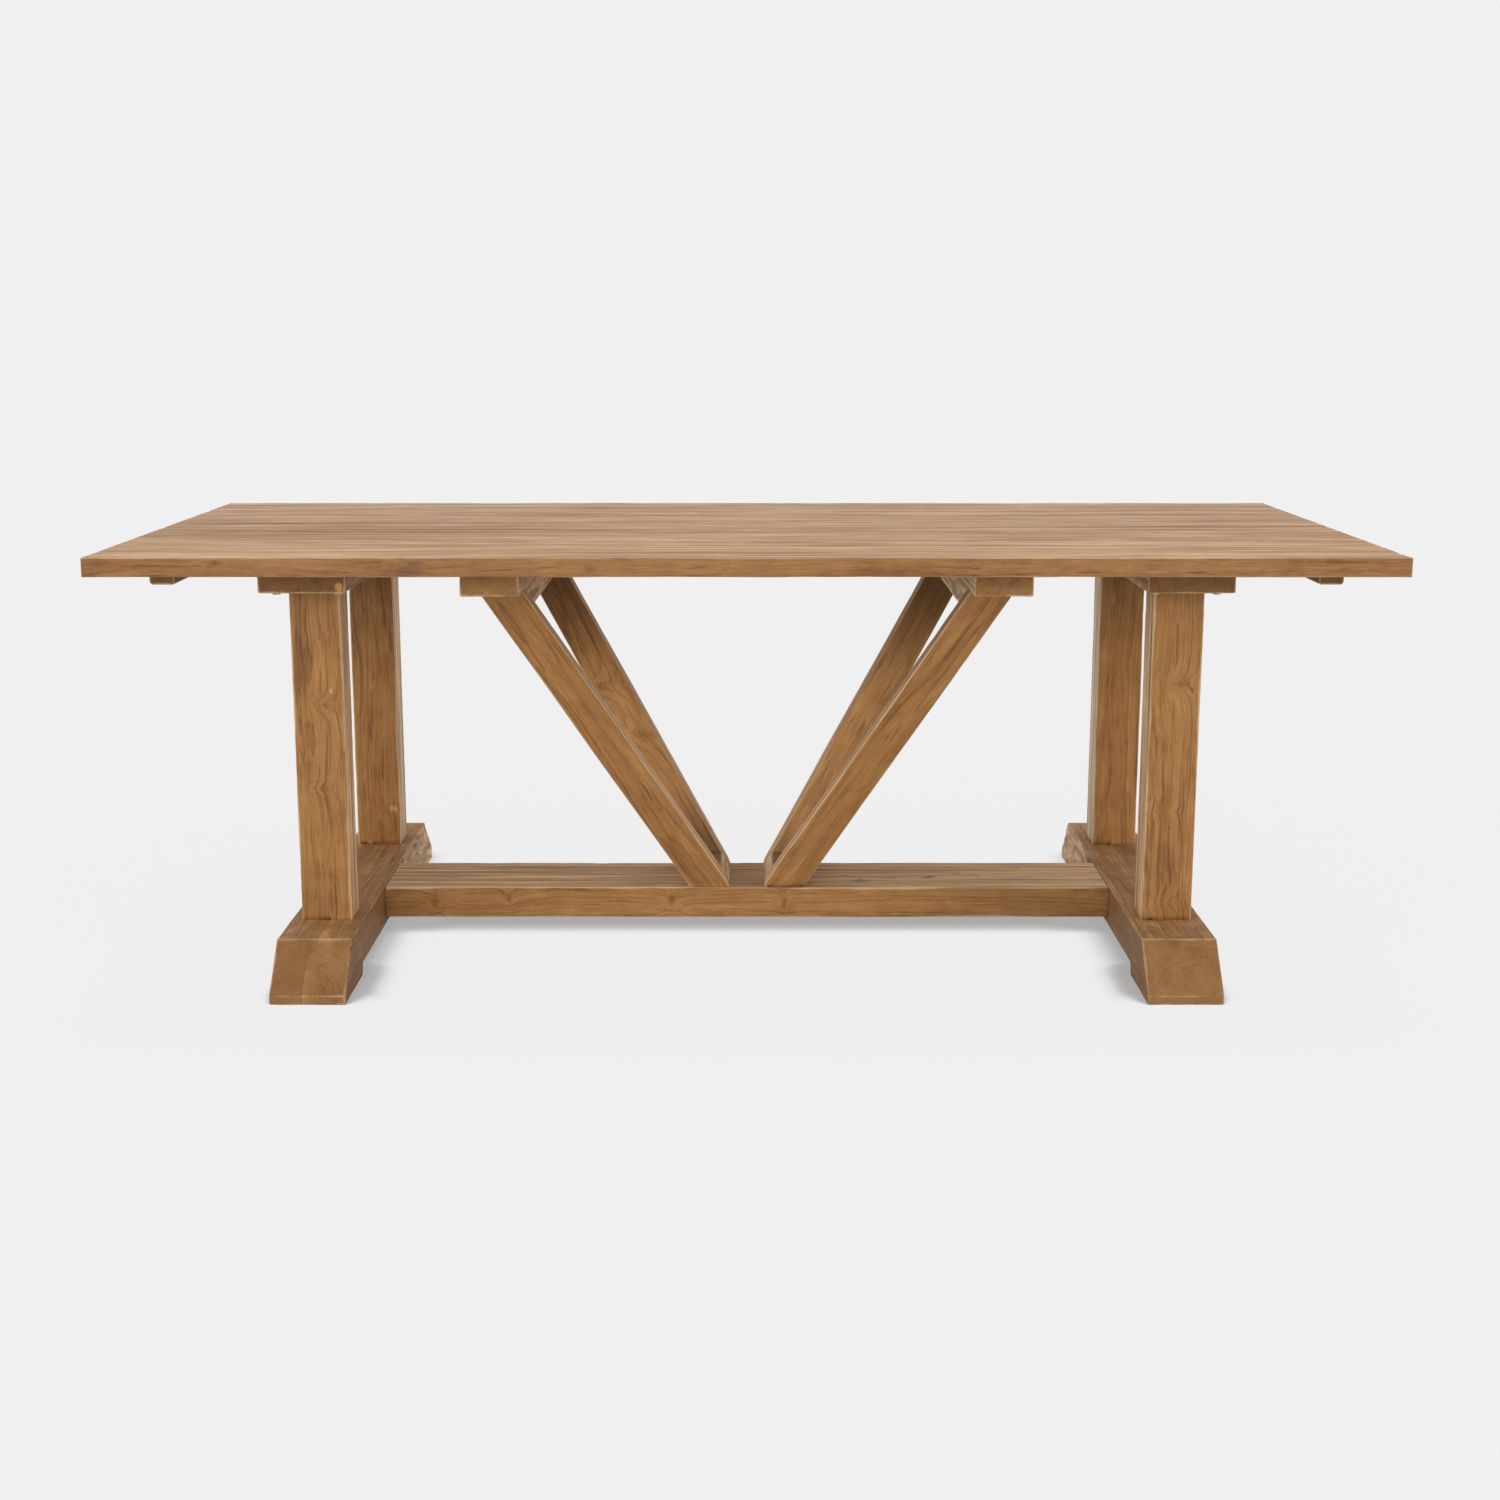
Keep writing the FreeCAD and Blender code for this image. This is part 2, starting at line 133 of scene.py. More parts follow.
class TimberSettings(bpy.types.PropertyGroup):
    """Sizes of the worked and worn surface of the timbers."""

    arris: length("Arris", "Rounding of the frame's worn edges", 0.003)
    top_arris: length("Top arris", "Rounding of the edges of the top's boards", 0.0014)
    batten_arris: length("Batten arris", "Rounding of the end battens' lower edges", 0.006)
    cell_along: length("Cell along", "Grid step along the grain of the frame's timbers", 0.010)
    cell_across: length("Cell across", "Grid step across the grain of the frame's timbers", 0.003)
    top_cell_along: length("Top cell along", "Grid step along the grain of the top", 0.022)
    top_cell_across: length("Top cell across", "Grid step across the grain of the top", 0.0016)
    wave_height: length("Wave height", "Rise and fall of hand-planed faces", 0.0011)
    wave_length: length("Wave length", "Distance between the rises of hand-planed faces", 0.21)
    nick_depth: length("Nick depth", "Depth of the dents along the edges", 0.0012)
    nick_length: length("Nick length", "Length of the dents along the edges", 0.045)
    groove_depth: length("Groove depth", "Depth of the grain on brushed or weathered faces", 0.00035)
    groove_spacing: length("Groove spacing", "Distance between the grooves of brushed faces", 0.0045)


class FootSettings(bpy.types.PropertyGroup):
    """Side view of the trestle feet."""

    toe_height: length("Toe height", "Upright part of the toe", 0.016)
    toe_run: length("Toe run", "Level length of the toe's slope", 0.075)
    relief_height: length("Relief height", "Height of the cut under the foot", 0.022)
    relief_length: length("Relief length", "Length of the cut under the foot", 0.660)
    relief_slant: length("Relief slant", "Level length of the slanted ends of the cut", 0.006)
    pocket_depth: length("Pocket depth", "Depth of the pockets for the stretcher bolts", 0.012)
    pocket_diameter: length("Pocket diameter", "Diameter of the pockets for the stretcher bolts", 0.030)
    wane_depth: length("Wane depth", "Relief of the bark edge on the left foot's inner rear side", 0.014)
    groove_depth: length("Groove depth", "Relief of the grooves on the right foot's inner rear side", 0.005)
    wane_start: length("Wane start", "Distance behind the middle where the bark edge starts", 0.15)


class FinishSettings(bpy.types.PropertyGroup):
    """Colours of the wood and the metal."""

    pale: colour("Pale heartwood", "Lightest tone of the oiled frame", srgb(174, 127, 77))
    base: colour("Heartwood", "Main tone of the oiled frame", srgb(151, 107, 60))
    brown: colour("Brown heartwood", "Darker bands of the oiled frame", srgb(124, 82, 43))
    latewood: colour("Latewood", "Lines of the growth rings", srgb(84, 51, 25))
    knot: colour("Knot", "Cores of the knots", srgb(74, 44, 24))
    grey: colour("Weathered", "Bare faces that have greyed", srgb(204, 168, 127))
    grey_dark: colour("Weathered grain", "Darker grain of the greyed faces", srgb(140, 109, 79))
    brushed: colour("Brushed", "Main tone of the brushed top", srgb(202, 168, 134))
    brushed_dark: colour("Brushed grain", "Darker grain of the brushed top", srgb(140, 104, 74))
    # Partly real wear, partly a painted highlight along the edges; brightened, it is also the painted
    # highlight on the bark's ridges
    worn: colour("Worn edge", "Pale wood along the rubbed edges", srgb(208, 178, 138))
    stain: colour("Stain", "Soft dark patches", srgb(78, 56, 42))
    fresh: colour("Fresh wood", "Wood shown where a chip is missing", srgb(206, 150, 86))
    zinc: colour("Zinc", "Yellow zinc of the bolts and washers", srgb(206, 178, 112))
    zinc_dull: colour("Dull zinc", "Dulled zinc of the bolts and washers", srgb(150, 132, 96))
    joinery: colour("Joinery wood", "Raw wood of the hidden tongues and tenons", srgb(186, 152, 112))


class FastenerSettings(bpy.types.PropertyGroup):
    """Sizes of the bolts, washers and screws."""

    bolt_head: length("Bolt head", "Width of the hex heads across their flats", 0.013)
    bolt_head_height: length("Bolt head height", "Height of the hex heads", 0.0053)
    bolt_diameter: length("Bolt diameter", "Diameter of the bearer and rail bolts", 0.008)
    bolt_pitch: length("Bolt pitch", "Pitch of the bearer and rail bolts", 0.00125)
    washer_hole: length("Washer hole", "Diameter of the hole in a washer", 0.0084)
    flange_thickness: length("Flange", "Thickness of the flanges under the heads", 0.0016)
    screw_head: length("Screw head", "Diameter of the countersunk screw heads", 0.009)
    screw_recess: length("Screw recess", "Span of the cross recess in a screw head", 0.005)
    turn_seed: IntProperty(name="Turn seed", description="Seed of the way that the heads are turned",
                           default=4)


class StageSettings(bpy.types.PropertyGroup):
    """Camera, light and floor."""

    camera_distance: length("Camera distance", "Level distance from the table's middle to the camera", 3.857)
    camera_height: length("Camera height", "Height of the camera over the floor", 1.1706)
    camera_tilt: FloatProperty(name="Camera tilt", description="Angle that the camera looks down",
                               default=0.1911, subtype="ANGLE")
    focal_share: FloatProperty(name="Focal share", description="Focal length over the picture's width",
                               default=1.362)
    shift_x: FloatProperty(name="Shift X", description="Sideways shift of the lens", default=0.0022)
    shift_y: FloatProperty(name="Shift Y", description="Upright shift of the lens", default=-0.0269)
    backdrop: colour("Backdrop", "Tone of the floor and the background", srgb(240, 240, 240))
    sky: FloatProperty(name="Sky", description="Strength of the even light from all round", default=0.5)
    front: FloatProperty(name="Front", description="Strength of the soft light from the front", default=1.1)
    sides: FloatProperty(name="Sides", description="Strength of the soft lights from the sides", default=1.25)
    overhead: FloatProperty(name="Overhead", description="Strength of the soft light from above", default=0.9)
    contact: length("Contact", "Reach of the contact shadow on the floor", 0.10)


class TableSettings(bpy.types.PropertyGroup):
    """All settings of the table."""

    timber: PointerProperty(type=TimberSettings)
    foot: PointerProperty(type=FootSettings)
    finish: PointerProperty(type=FinishSettings)
    fastener: PointerProperty(type=FastenerSettings)
    stage: PointerProperty(type=StageSettings)


def table():
    """The settings of the table in the scene."""
    return bpy.context.scene.trestle_table


# Node helpers

def put(tree, kind, inputs=(), **options):
    """Adds a node with its options, and gives its inputs a value or a link each, in order or by name."""
    node = tree.nodes.new(kind)
    for key, value in options.items():
        setattr(node, key, value)
    pairs = inputs.items() if isinstance(inputs, dict) else enumerate(inputs)
    for key, value in pairs:
        if isinstance(value, bpy.types.NodeSocket):
            tree.links.new(value, node.inputs[key])
        elif value is not None:
            node.inputs[key].default_value = value
    return node


def calc(tree, operation, *values):
    """Result of a number operation."""
    return put(tree, "ShaderNodeMath", values, operation=operation).outputs[0]


def vector_calc(tree, operation, *values):
    """Result of a vector operation."""
    node = put(tree, "ShaderNodeVectorMath", values, operation=operation)
    return node.outputs["Value" if operation == "LENGTH" else "Vector"]


def scaled(tree, vector, factor):
    """A vector times one number, which may be a link."""
    node = put(tree, "ShaderNodeVectorMath", {"Vector": vector, "Scale": factor}, operation="SCALE")
    return node.outputs[0]


def stretched(tree, vector, *factors):
    """A vector times one factor per axis."""
    return vector_calc(tree, "MULTIPLY", vector, factors)


def noise(tree, vector, seed, detail=2.0, roughness=0.5, output="Fac"):
    """Noise in four dimensions; the seed is the fourth."""
    inputs = {"Vector": vector, "W": seed, "Scale": 1.0, "Detail": detail, "Roughness": roughness}
    return put(tree, "ShaderNodeTexNoise", inputs, noise_dimensions="4D").outputs[output]


def smooth(tree, value, start, end, low=0.0, high=1.0):
    """Eases from low to high while value goes from start to end."""
    inputs = {"Value": value, "From Min": start, "From Max": end, "To Min": low, "To Max": high}
    return put(tree, "ShaderNodeMapRange", inputs, interpolation_type="SMOOTHSTEP").outputs[0]


def mixed(tree, factor, first, second):
    """Colour mix."""
    node = put(tree, "ShaderNodeMix", data_type="RGBA")
    for index, value in ((0, factor), (6, first), (7, second)):
        if isinstance(value, bpy.types.NodeSocket):
            tree.links.new(value, node.inputs[index])
        else:
            node.inputs[index].default_value = value
    return node.outputs[2]


SOCKETS = {"value": "NodeSocketFloat", "vector": "NodeSocketVector", "colour": "NodeSocketColor",
           "geometry": "NodeSocketGeometry", "material": "NodeSocketMaterial"}


def new_group(name, kind, inputs, outputs):
    """An empty node group with named sockets, and its input sockets and output node."""
    tree = bpy.data.node_groups.new(name, kind)
    for direction, sockets in (("INPUT", inputs), ("OUTPUT", outputs)):
        for label, socket in sockets.items():
            tree.interface.new_socket(label, in_out=direction, socket_type=SOCKETS[socket])
    given = tree.nodes.new("NodeGroupInput").outputs
    return tree, given, tree.nodes.new("NodeGroupOutput")


def yield_outputs(tree, node, **values):
    """Links values to a group's outputs by their names."""
    for label, value in values.items():
        tree.links.new(value, node.inputs[label.replace("_", " ")])


def once(build):
    """Makes a group builder run only the first time, and hand out its group after that."""
    made = []

    def handed():
        if not made:
            made.append(build())
        return made[0]
    return handed


def use_group(tree, group, **inputs):
    """Adds a shader group with its inputs, and hands out its outputs."""
    named = {key.replace("_", " "): value for key, value in inputs.items()}
    return put(tree, "ShaderNodeGroup", named, node_tree=group).outputs


def dress(tree, given, result, shape):
    """Ends a tree: its copies become real, take their material and are handed out."""
    whole = put(tree, "GeometryNodeRealizeInstances", (shape,))
    dressed = put(tree, "GeometryNodeSetMaterial",
                  {"Geometry": whole.outputs[0], "Material": given["Material"]})
    yield_outputs(tree, result, Geometry=dressed.outputs[0])


# Teak

@once
def figure_group():
    """Growth rings round a wandering pith, fine lines and fibres, broad bands, mottling and pores."""
    tree, given, result = new_group(
        "Teak figure", "ShaderNodeTree",
        {"Grain": "vector", "Seed": "value", "Pith": "vector", "Spacing": "value", "Wander": "value",
         "Push": "value"},
        {"Rings": "value", "Lines": "value", "Fibre": "value", "Bands": "value", "Mottle": "value",
         "Pores": "value"})
    grain = given["Grain"]
    seed = given["Seed"]
    drift = noise(tree, stretched(tree, grain, 2.4, 5.0, 5.0), seed, 1.5, output="Color")
    drift = vector_calc(tree, "SUBTRACT", drift, (0.5, 0.5, 0.5))
    drift = scaled(tree, drift, given["Wander"])
    swayed = vector_calc(tree, "ADD", grain, drift)
    from_pith = vector_calc(tree, "ADD", swayed, given["Pith"])
    radius = vector_calc(tree, "LENGTH", stretched(tree, from_pith, 0.0, 1.0, 1.0))
    uneven = noise(tree, stretched(tree, grain, 9.0, 60.0, 60.0), seed, 3.0, 0.6)
    years = calc(tree, "DIVIDE", radius, given["Spacing"])
    years = calc(tree, "MULTIPLY_ADD", uneven, 1.6, years)
    years = calc(tree, "ADD", years, given["Push"])
    season = calc(tree, "FRACT", years)
    rise = smooth(tree, season, 0.2, 0.9)
    fall = smooth(tree, season, 0.9, 1.0, 1.0, 0.0)
    year = put(tree, "ShaderNodeTexWhiteNoise", {"W": calc(tree, "FLOOR", years)}, noise_dimensions="1D")
    strength = calc(tree, "POWER", year.outputs["Value"], 2.0)
    rings = calc(tree, "MULTIPLY", calc(tree, "MULTIPLY", rise, fall), strength)
    bent = vector_calc(tree, "ADD", swayed, put(
        tree, "ShaderNodeCombineXYZ", {"Y": calc(tree, "MULTIPLY", given["Push"], 0.0030)}).outputs[0])
    curl = noise(tree, stretched(tree, grain, 11.0, 26.0, 26.0), seed, 2.0, output="Color")
    curl = scaled(tree, vector_calc(tree, "SUBTRACT", curl, (0.5, 0.5, 0.5)), 0.011)
    bent = vector_calc(tree, "ADD", bent, curl)
    lines = noise(tree, stretched(tree, bent, 3.4, 150.0, 150.0), seed, 3.0, 0.68)
    fibre = noise(tree, stretched(tree, bent, 8.0, 420.0, 420.0), seed, 3.0, 0.6)
    bands = noise(tree, stretched(tree, bent, 2.2, 30.0, 30.0), calc(tree, "ADD", seed, 9.0), 2.5)
    mottle = noise(tree, stretched(tree, grain, 17.0, 24.0, 24.0), calc(tree, "ADD", seed, 4.0), 4.0, 0.62)
    pores = noise(tree, stretched(tree, bent, 55.0, 1100.0, 1100.0), seed, 1.0)
    yield_outputs(tree, result, Rings=rings, Lines=smooth(tree, lines, 0.56, 0.63), Fibre=fibre, Bands=bands,
                  Mottle=mottle, Pores=smooth(tree, pores, 0.60, 0.72))
    return tree


@once
def knot_group():
    """One knot: it pushes the grain aside and has a dark core. Knots are chained by Push and Core."""
    tree, given, result = new_group(
        "Knot", "ShaderNodeTree",
        {"Grain": "vector", "Centre": "vector", "Radius": "value", "Push": "value", "Core": "value"},
        {"Push": "value", "Core": "value"})
    away = vector_calc(tree, "SUBTRACT", given["Grain"], given["Centre"])
    wobble = noise(tree, stretched(tree, given["Grain"], 70.0, 90.0, 90.0), 2.0, 3.0, output="Color")
    wobble = scaled(tree, vector_calc(tree, "SUBTRACT", wobble, (0.5, 0.5, 0.5)),
                    calc(tree, "MULTIPLY", given["Radius"], 2.0))
    away = vector_calc(tree, "ADD", stretched(tree, away, 1.5, 0.7, 0.2), wobble)
    reach = calc(tree, "DIVIDE", vector_calc(tree, "LENGTH", away), given["Radius"])
    square = calc(tree, "MULTIPLY", reach, reach)
    shove = calc(tree, "DIVIDE", 4.0, calc(tree, "MULTIPLY_ADD", square, 0.4, 1.0))
    core = smooth(tree, reach, 1.3, 0.2, 0.0, 1.0)
    yield_outputs(tree, result, Push=calc(tree, "ADD", given["Push"], shove),
                  Core=calc(tree, "MAXIMUM", given["Core"], core))
    return tree


@once
def bark_painted_relief_group():
    """Gnarled places: painted shade in dark crevices and a painted highlight on pale ridges where the relief
    is strong.
    """
    tree, given, result = new_group(
        "Bark edge painted relief", "ShaderNodeTree",
        {"Colour": "colour", "Grain": "vector", "Seed": "value", "Rough": "value", "Pale": "colour",
         "Dark": "colour"},
        {"Colour": "colour"})
    deep = smooth(tree, given["Rough"], 0.002, 0.005)
    folds = noise(tree, stretched(tree, given["Grain"], 12.0, 46.0, 46.0), given["Seed"], 4.0, 0.7)
    crevice_painted_shade = smooth(tree, folds, 0.48, 0.36, 0.0, 0.62)
    ridge = smooth(tree, folds, 0.48, 0.64, 0.0, 0.7)
    shade = mixed(tree, calc(tree, "MULTIPLY", ridge, deep), given["Colour"], given["Pale"])
    shade = mixed(tree, calc(tree, "MULTIPLY", crevice_painted_shade, deep), shade, given["Dark"])
    yield_outputs(tree, result, Colour=shade)
    return tree


SPOT = {"Grain": "vector", "Centre": "vector", "Radius": "value"}


@once
def stain_group():
    """A soft dark patch in the surface."""
    tree, given, result = new_group("Stain", "ShaderNodeTree", SPOT, {"Stain": "value"})
    away = vector_calc(tree, "SUBTRACT", given["Grain"], given["Centre"])
    cloud = noise(tree, stretched(tree, given["Grain"], 40.0, 90.0, 90.0), 1.0, 4.0, 0.65)
    reach = vector_calc(tree, "LENGTH", stretched(tree, away, 0.5, 1.0, 1.0))
    reach = calc(tree, "DIVIDE", reach, given["Radius"])
    reach = calc(tree, "MULTIPLY_ADD", cloud, 2.4, reach)
    yield_outputs(tree, result, Stain=smooth(tree, reach, 1.0, 2.2, 1.0, 0.0))
    return tree


@once
def chip_group():
    """A small break in the surface that shows fresh wood."""
    tree, given, result = new_group("Chip", "ShaderNodeTree", SPOT, {"Chip": "value"})
    away = vector_calc(tree, "SUBTRACT", given["Grain"], given["Centre"])
    ragged = noise(tree, scaled(tree, given["Grain"], 420.0), 1.0, 2.0)
    reach = vector_calc(tree, "LENGTH", stretched(tree, away, 0.7, 1.2, 1.0))
    reach = calc(tree, "DIVIDE", reach, given["Radius"])
    reach = calc(tree, "MULTIPLY_ADD", ragged, 1.2, reach)
    yield_outputs(tree, result, Chip=smooth(tree, reach, 1.3, 1.6, 1.0, 0.0))
    return tree


@once
def heartwood_group():
    """Oiled heartwood: bands and mottling from pale to brown, grain lines, pores and knot cores."""
    tree, given, result = new_group(
        "Heartwood", "ShaderNodeTree",
        {"Rings": "value", "Lines": "value", "Fibre": "value", "Bands": "value", "Mottle": "value",
         "Pores": "value", "Core": "value", "Pale": "colour", "Base": "colour", "Brown": "colour",
         "Latewood": "colour", "Knot": "colour"},
        {"Colour": "colour"})
    tone = calc(tree, "MULTIPLY_ADD", given["Fibre"], 0.50, calc(tree, "MULTIPLY", given["Bands"], 0.34))
    tone = calc(tree, "MULTIPLY_ADD", given["Mottle"], 0.36, tone)
    shade = mixed(tree, smooth(tree, tone, 0.44, 0.62), given["Brown"], given["Base"])
    shade = mixed(tree, smooth(tree, tone, 0.59, 0.80), shade, given["Pale"])
    shade = mixed(tree, calc(tree, "MULTIPLY", given["Rings"], 0.40), shade, given["Latewood"])
    shade = mixed(tree, calc(tree, "MULTIPLY", given["Lines"], 0.52), shade, given["Latewood"])
    shade = mixed(tree, calc(tree, "MULTIPLY", given["Pores"], 0.35), shade, given["Latewood"])
    shade = mixed(tree, calc(tree, "MULTIPLY", given["Core"], 0.44), shade, given["Knot"])
    yield_outputs(tree, result, Colour=shade)
    return tree


@once
def weathered_group():
    """Bare faces that have greyed or been brushed: raised streaks, dark grain and fine cracks, darkened with
    painted shade.
    """
    tree, given, result = new_group(
        "Weathered face", "ShaderNodeTree",
        {"Colour": "colour", "Grain": "vector", "Seed": "value", "Weather": "value", "Rings": "value",
         "Ring Depth": "value", "Lines": "value", "Mottle": "value", "Light": "colour", "Dark": "colour",
         "Cracks": "value"},
        {"Colour": "colour", "Crack": "value", "Mask": "value"})
    streak = noise(tree, stretched(tree, given["Grain"], 1.5, 92.0, 92.0), given["Seed"], 3.0, 0.7)
    dash = noise(tree, stretched(tree, given["Grain"], 4.2, 210.0, 210.0), given["Seed"], 2.0, 0.6)
    tone = calc(tree, "MULTIPLY_ADD", dash, 0.45, calc(tree, "MULTIPLY", streak, 0.55))
    bare = mixed(tree, smooth(tree, tone, 0.42, 0.58), given["Dark"], given["Light"])
    lines = calc(tree, "MULTIPLY", given["Lines"], 0.30)
    ringed = calc(tree, "MULTIPLY_ADD", given["Rings"], given["Ring Depth"], lines)
    bare = mixed(tree, ringed, bare, given["Dark"])
    pale = smooth(tree, calc(tree, "MULTIPLY_ADD", dash, 0.6, calc(tree, "MULTIPLY", given["Mottle"], 0.4)),
                  0.55, 0.70, 0.0, 0.55)
    bare = mixed(tree, pale, bare, mixed(tree, 0.5, given["Light"], (1.0, 0.93, 0.85, 1.0)))
    split = noise(tree, stretched(tree, given["Grain"], 2.3, 34.0, 34.0), given["Seed"], 1.0)
    split = calc(tree, "ABSOLUTE", calc(tree, "SUBTRACT", split, 0.5))
    where = noise(tree, stretched(tree, given["Grain"], 3.0, 14.0, 14.0), 5.0, 1.0)
    crack = calc(tree, "MULTIPLY", smooth(tree, split, 0.0, 0.014, 1.0, 0.0), smooth(tree, where, 0.50, 0.62))
    crack = calc(tree, "MULTIPLY", crack, given["Cracks"])
    crack = calc(tree, "MULTIPLY", crack, given["Weather"])
    # Painted shade in the fine cracks: they darken towards near black
    bare = mixed(tree, calc(tree, "MULTIPLY", crack, 0.75), bare, (0.02, 0.012, 0.007, 1.0))
    patch = calc(tree, "MULTIPLY_ADD", calc(tree, "SUBTRACT", given["Mottle"], 0.5), 0.6, given["Weather"])
    mask = smooth(tree, patch, 0.15, 0.85)
    yield_outputs(tree, result, Colour=mixed(tree, mask, given["Colour"], bare), Crack=crack, Mask=mask)
    return tree


@once
def wear_and_highlight_group():
    """Edges rubbed pale, unevenly along the grain: partly real wear, partly a painted highlight along the
    rounded arrises.
    """
    tree, given, result = new_group(
        "Worn edge", "ShaderNodeTree",
        {"Colour": "colour", "Grain": "vector", "Seed": "value", "Edge": "value", "Width": "value",
         "Worn": "colour", "Amount": "value"},
        {"Colour": "colour", "Wear": "value"})
    uneven = noise(tree, stretched(tree, given["Grain"], 6.0, 22.0, 22.0), given["Seed"], 3.0, 0.6)
    near = calc(tree, "DIVIDE", given["Edge"], given["Width"])
    near = calc(tree, "ADD", near, calc(tree, "MULTIPLY_ADD", uneven, 3.6, -1.7))
    wear = calc(tree, "MULTIPLY", smooth(tree, near, 0.1, 1.0, 1.0, 0.0), given["Amount"])
    yield_outputs(tree, result, Colour=mixed(tree, wear, given["Colour"], given["Worn"]), Wear=wear)
    return tree


def shaded(tone, shade):
    """A colour times a shade per channel, as a node's colour value."""
    return tuple(min(1.0, part * factor) for part, factor in zip(tone, shade)) + (1.0,)


def new_material(name):
    """An empty node material and its node tree."""
    material = bpy.data.materials.new(name)
    material.use_nodes = True
    material.node_tree.nodes.clear()
    return material, material.node_tree


def attribute(tree, name, output="Fac"):
    """A value stored on the mesh."""
    return put(tree, "ShaderNodeAttribute", attribute_name=name).outputs[output]


def teak_material(name, look):
    """Teak for one timber: its own figure and knots, oiled, weathered by side and worn at the edges, with
    painted highlights on the edges and the bark, and painted shade in the cracks, the bark's crevices, the
    holes, the joints and on some sides and ends.
    """
    finish = table().finish
    material, tree = new_material(name)
    grain = attribute(tree, "grain", "Vector")
    weather = attribute(tree, "weather")
    push = core = None
    for along, across, radius in look["knots"]:
        knot = use_group(tree, knot_group(), Grain=grain, Centre=(along, across, look["knot_depth"]),
                         Radius=radius, Push=push, Core=core)
        push = knot["Push"]
        core = knot["Core"]
    seed = float(look["seed"])
    place = put(tree, "ShaderNodeSeparateXYZ", (grain,)).outputs
    if look["seam"] is not None:
        offset = calc(tree, "SUBTRACT", place["Y"], look["seam"])
        beyond = calc(tree, "GREATER_THAN", offset, 0.0)
        seed = calc(tree, "MULTIPLY_ADD", beyond, SEAM_SEED_STEP, seed)
    figure = use_group(tree, figure_group(), Grain=grain, Seed=seed, Pith=(0.0, *look["pith"]),
                       Spacing=look["spacing"], Wander=look["wander"], Push=push)
    end = attribute(tree, "end")
    rings = calc(tree, "MULTIPLY", figure["Rings"], smooth(tree, end, 0.0, 1.0, 1.0, 0.55))
    lines = calc(tree, "MULTIPLY", figure["Lines"], smooth(tree, end, 0.0, 1.0, 1.0, 0.15))
    shade = look["shade"]
    oiled = use_group(
        tree, heartwood_group(), Rings=rings, Lines=lines, Fibre=figure["Fibre"],
        Bands=figure["Bands"], Mottle=figure["Mottle"], Pores=figure["Pores"], Core=core,
        Pale=shaded(finish.pale, shade), Base=shaded(finish.base, shade),
        Brown=shaded(finish.brown, shade), Latewood=shaded(finish.latewood, shade),
        Knot=shaded(finish.knot, shade))["Colour"]
    if look["seam"] is not None:
        glue = smooth(tree, calc(tree, "ABSOLUTE", offset), 0.0005, 0.0014, 0.7, 0.0)
        tint = calc(tree, "MAXIMUM", glue, calc(tree, "MULTIPLY_ADD", beyond, -0.3, 0.3))
        oiled = mixed(tree, tint, oiled, shaded(finish.brown, (0.85, 0.9, 0.95)))
    # Painted shade: darker towards one end along the grain on the rear posts and braces, where the top and
    # the block shade them; a darker tone towards the stretcher's right end
    for near, far, factor in look["fades"]:
        shade_fade = smooth(tree, place["X"], near, far)
        oiled = mixed(tree, calc(tree, "MULTIPLY", shade_fade, 1.0 - factor), oiled, (0.01, 0.005, 0.002, 1.0))
    light, dark = finish.grey, finish.grey_dark
    if look["brushed"]:
        light, dark = finish.brushed, finish.brushed_dark
    bare_shade = look["bare_shade"]
    bare = use_group(
        tree, weathered_group(), Colour=oiled, Grain=grain, Seed=seed, Weather=weather,
        Rings=rings, Lines=lines, Mottle=figure["Mottle"], Light=shaded(light, bare_shade),
        Dark=shaded(dark, bare_shade), Cracks=look["cracks"], **{"Ring Depth": look["ring_depth"]})
    # Pale edges: partly real wear, partly a painted highlight along the rounded arrises
    rubbed = use_group(
        tree, wear_and_highlight_group(), Colour=bare["Colour"], Grain=grain, Seed=seed,
        Edge=attribute(tree, "edge"), Width=look["wear_width"], Worn=(*finish.worn, 1.0),
        Amount=look["wear"])
    # Bark relief: painted shade in its crevices (stain colour) and a painted highlight on its ridges
    # (brightened worn colour)
    bark = use_group(tree, bark_painted_relief_group(), Colour=rubbed["Colour"], Grain=grain, Seed=seed,
                     Rough=attribute(tree, "rough"), Pale=shaded(finish.worn, (1.2, 1.2, 1.2)),
                     Dark=(*finish.stain, 1.0))
    tone = bark["Colour"]
    for along, across, depth, radius, strength in look["stains"]:
        stain = use_group(tree, stain_group(), Grain=grain, Centre=(along, across, depth), Radius=radius)
        tone = mixed(tree, calc(tree, "MULTIPLY", stain["Stain"], strength), tone, (*finish.stain, 1.0))
    for along, across, depth, radius in look["chips"]:
        chip = use_group(tree, chip_group(), Grain=grain, Centre=(along, across, depth), Radius=radius)
        tone = mixed(tree, calc(tree, "MULTIPLY", chip["Chip"], 0.7), tone, (*finish.fresh, 1.0))
    relief = calc(tree, "MULTIPLY_ADD", figure["Lines"], -0.35, calc(tree, "MULTIPLY", figure["Fibre"], 0.9))
    relief = calc(tree, "MULTIPLY_ADD", figure["Pores"], -0.5, relief)
    relief = calc(tree, "MULTIPLY_ADD", bare["Crack"], -2.5, relief)
    bump = put(tree, "ShaderNodeBump", {"Strength": 0.35, "Distance": 0.0006, "Height": relief})
    gloss = calc(tree, "MULTIPLY_ADD", figure["Fibre"], 0.16, 0.50)
    gloss = calc(tree, "MULTIPLY_ADD", bare["Mask"], 0.14, gloss)
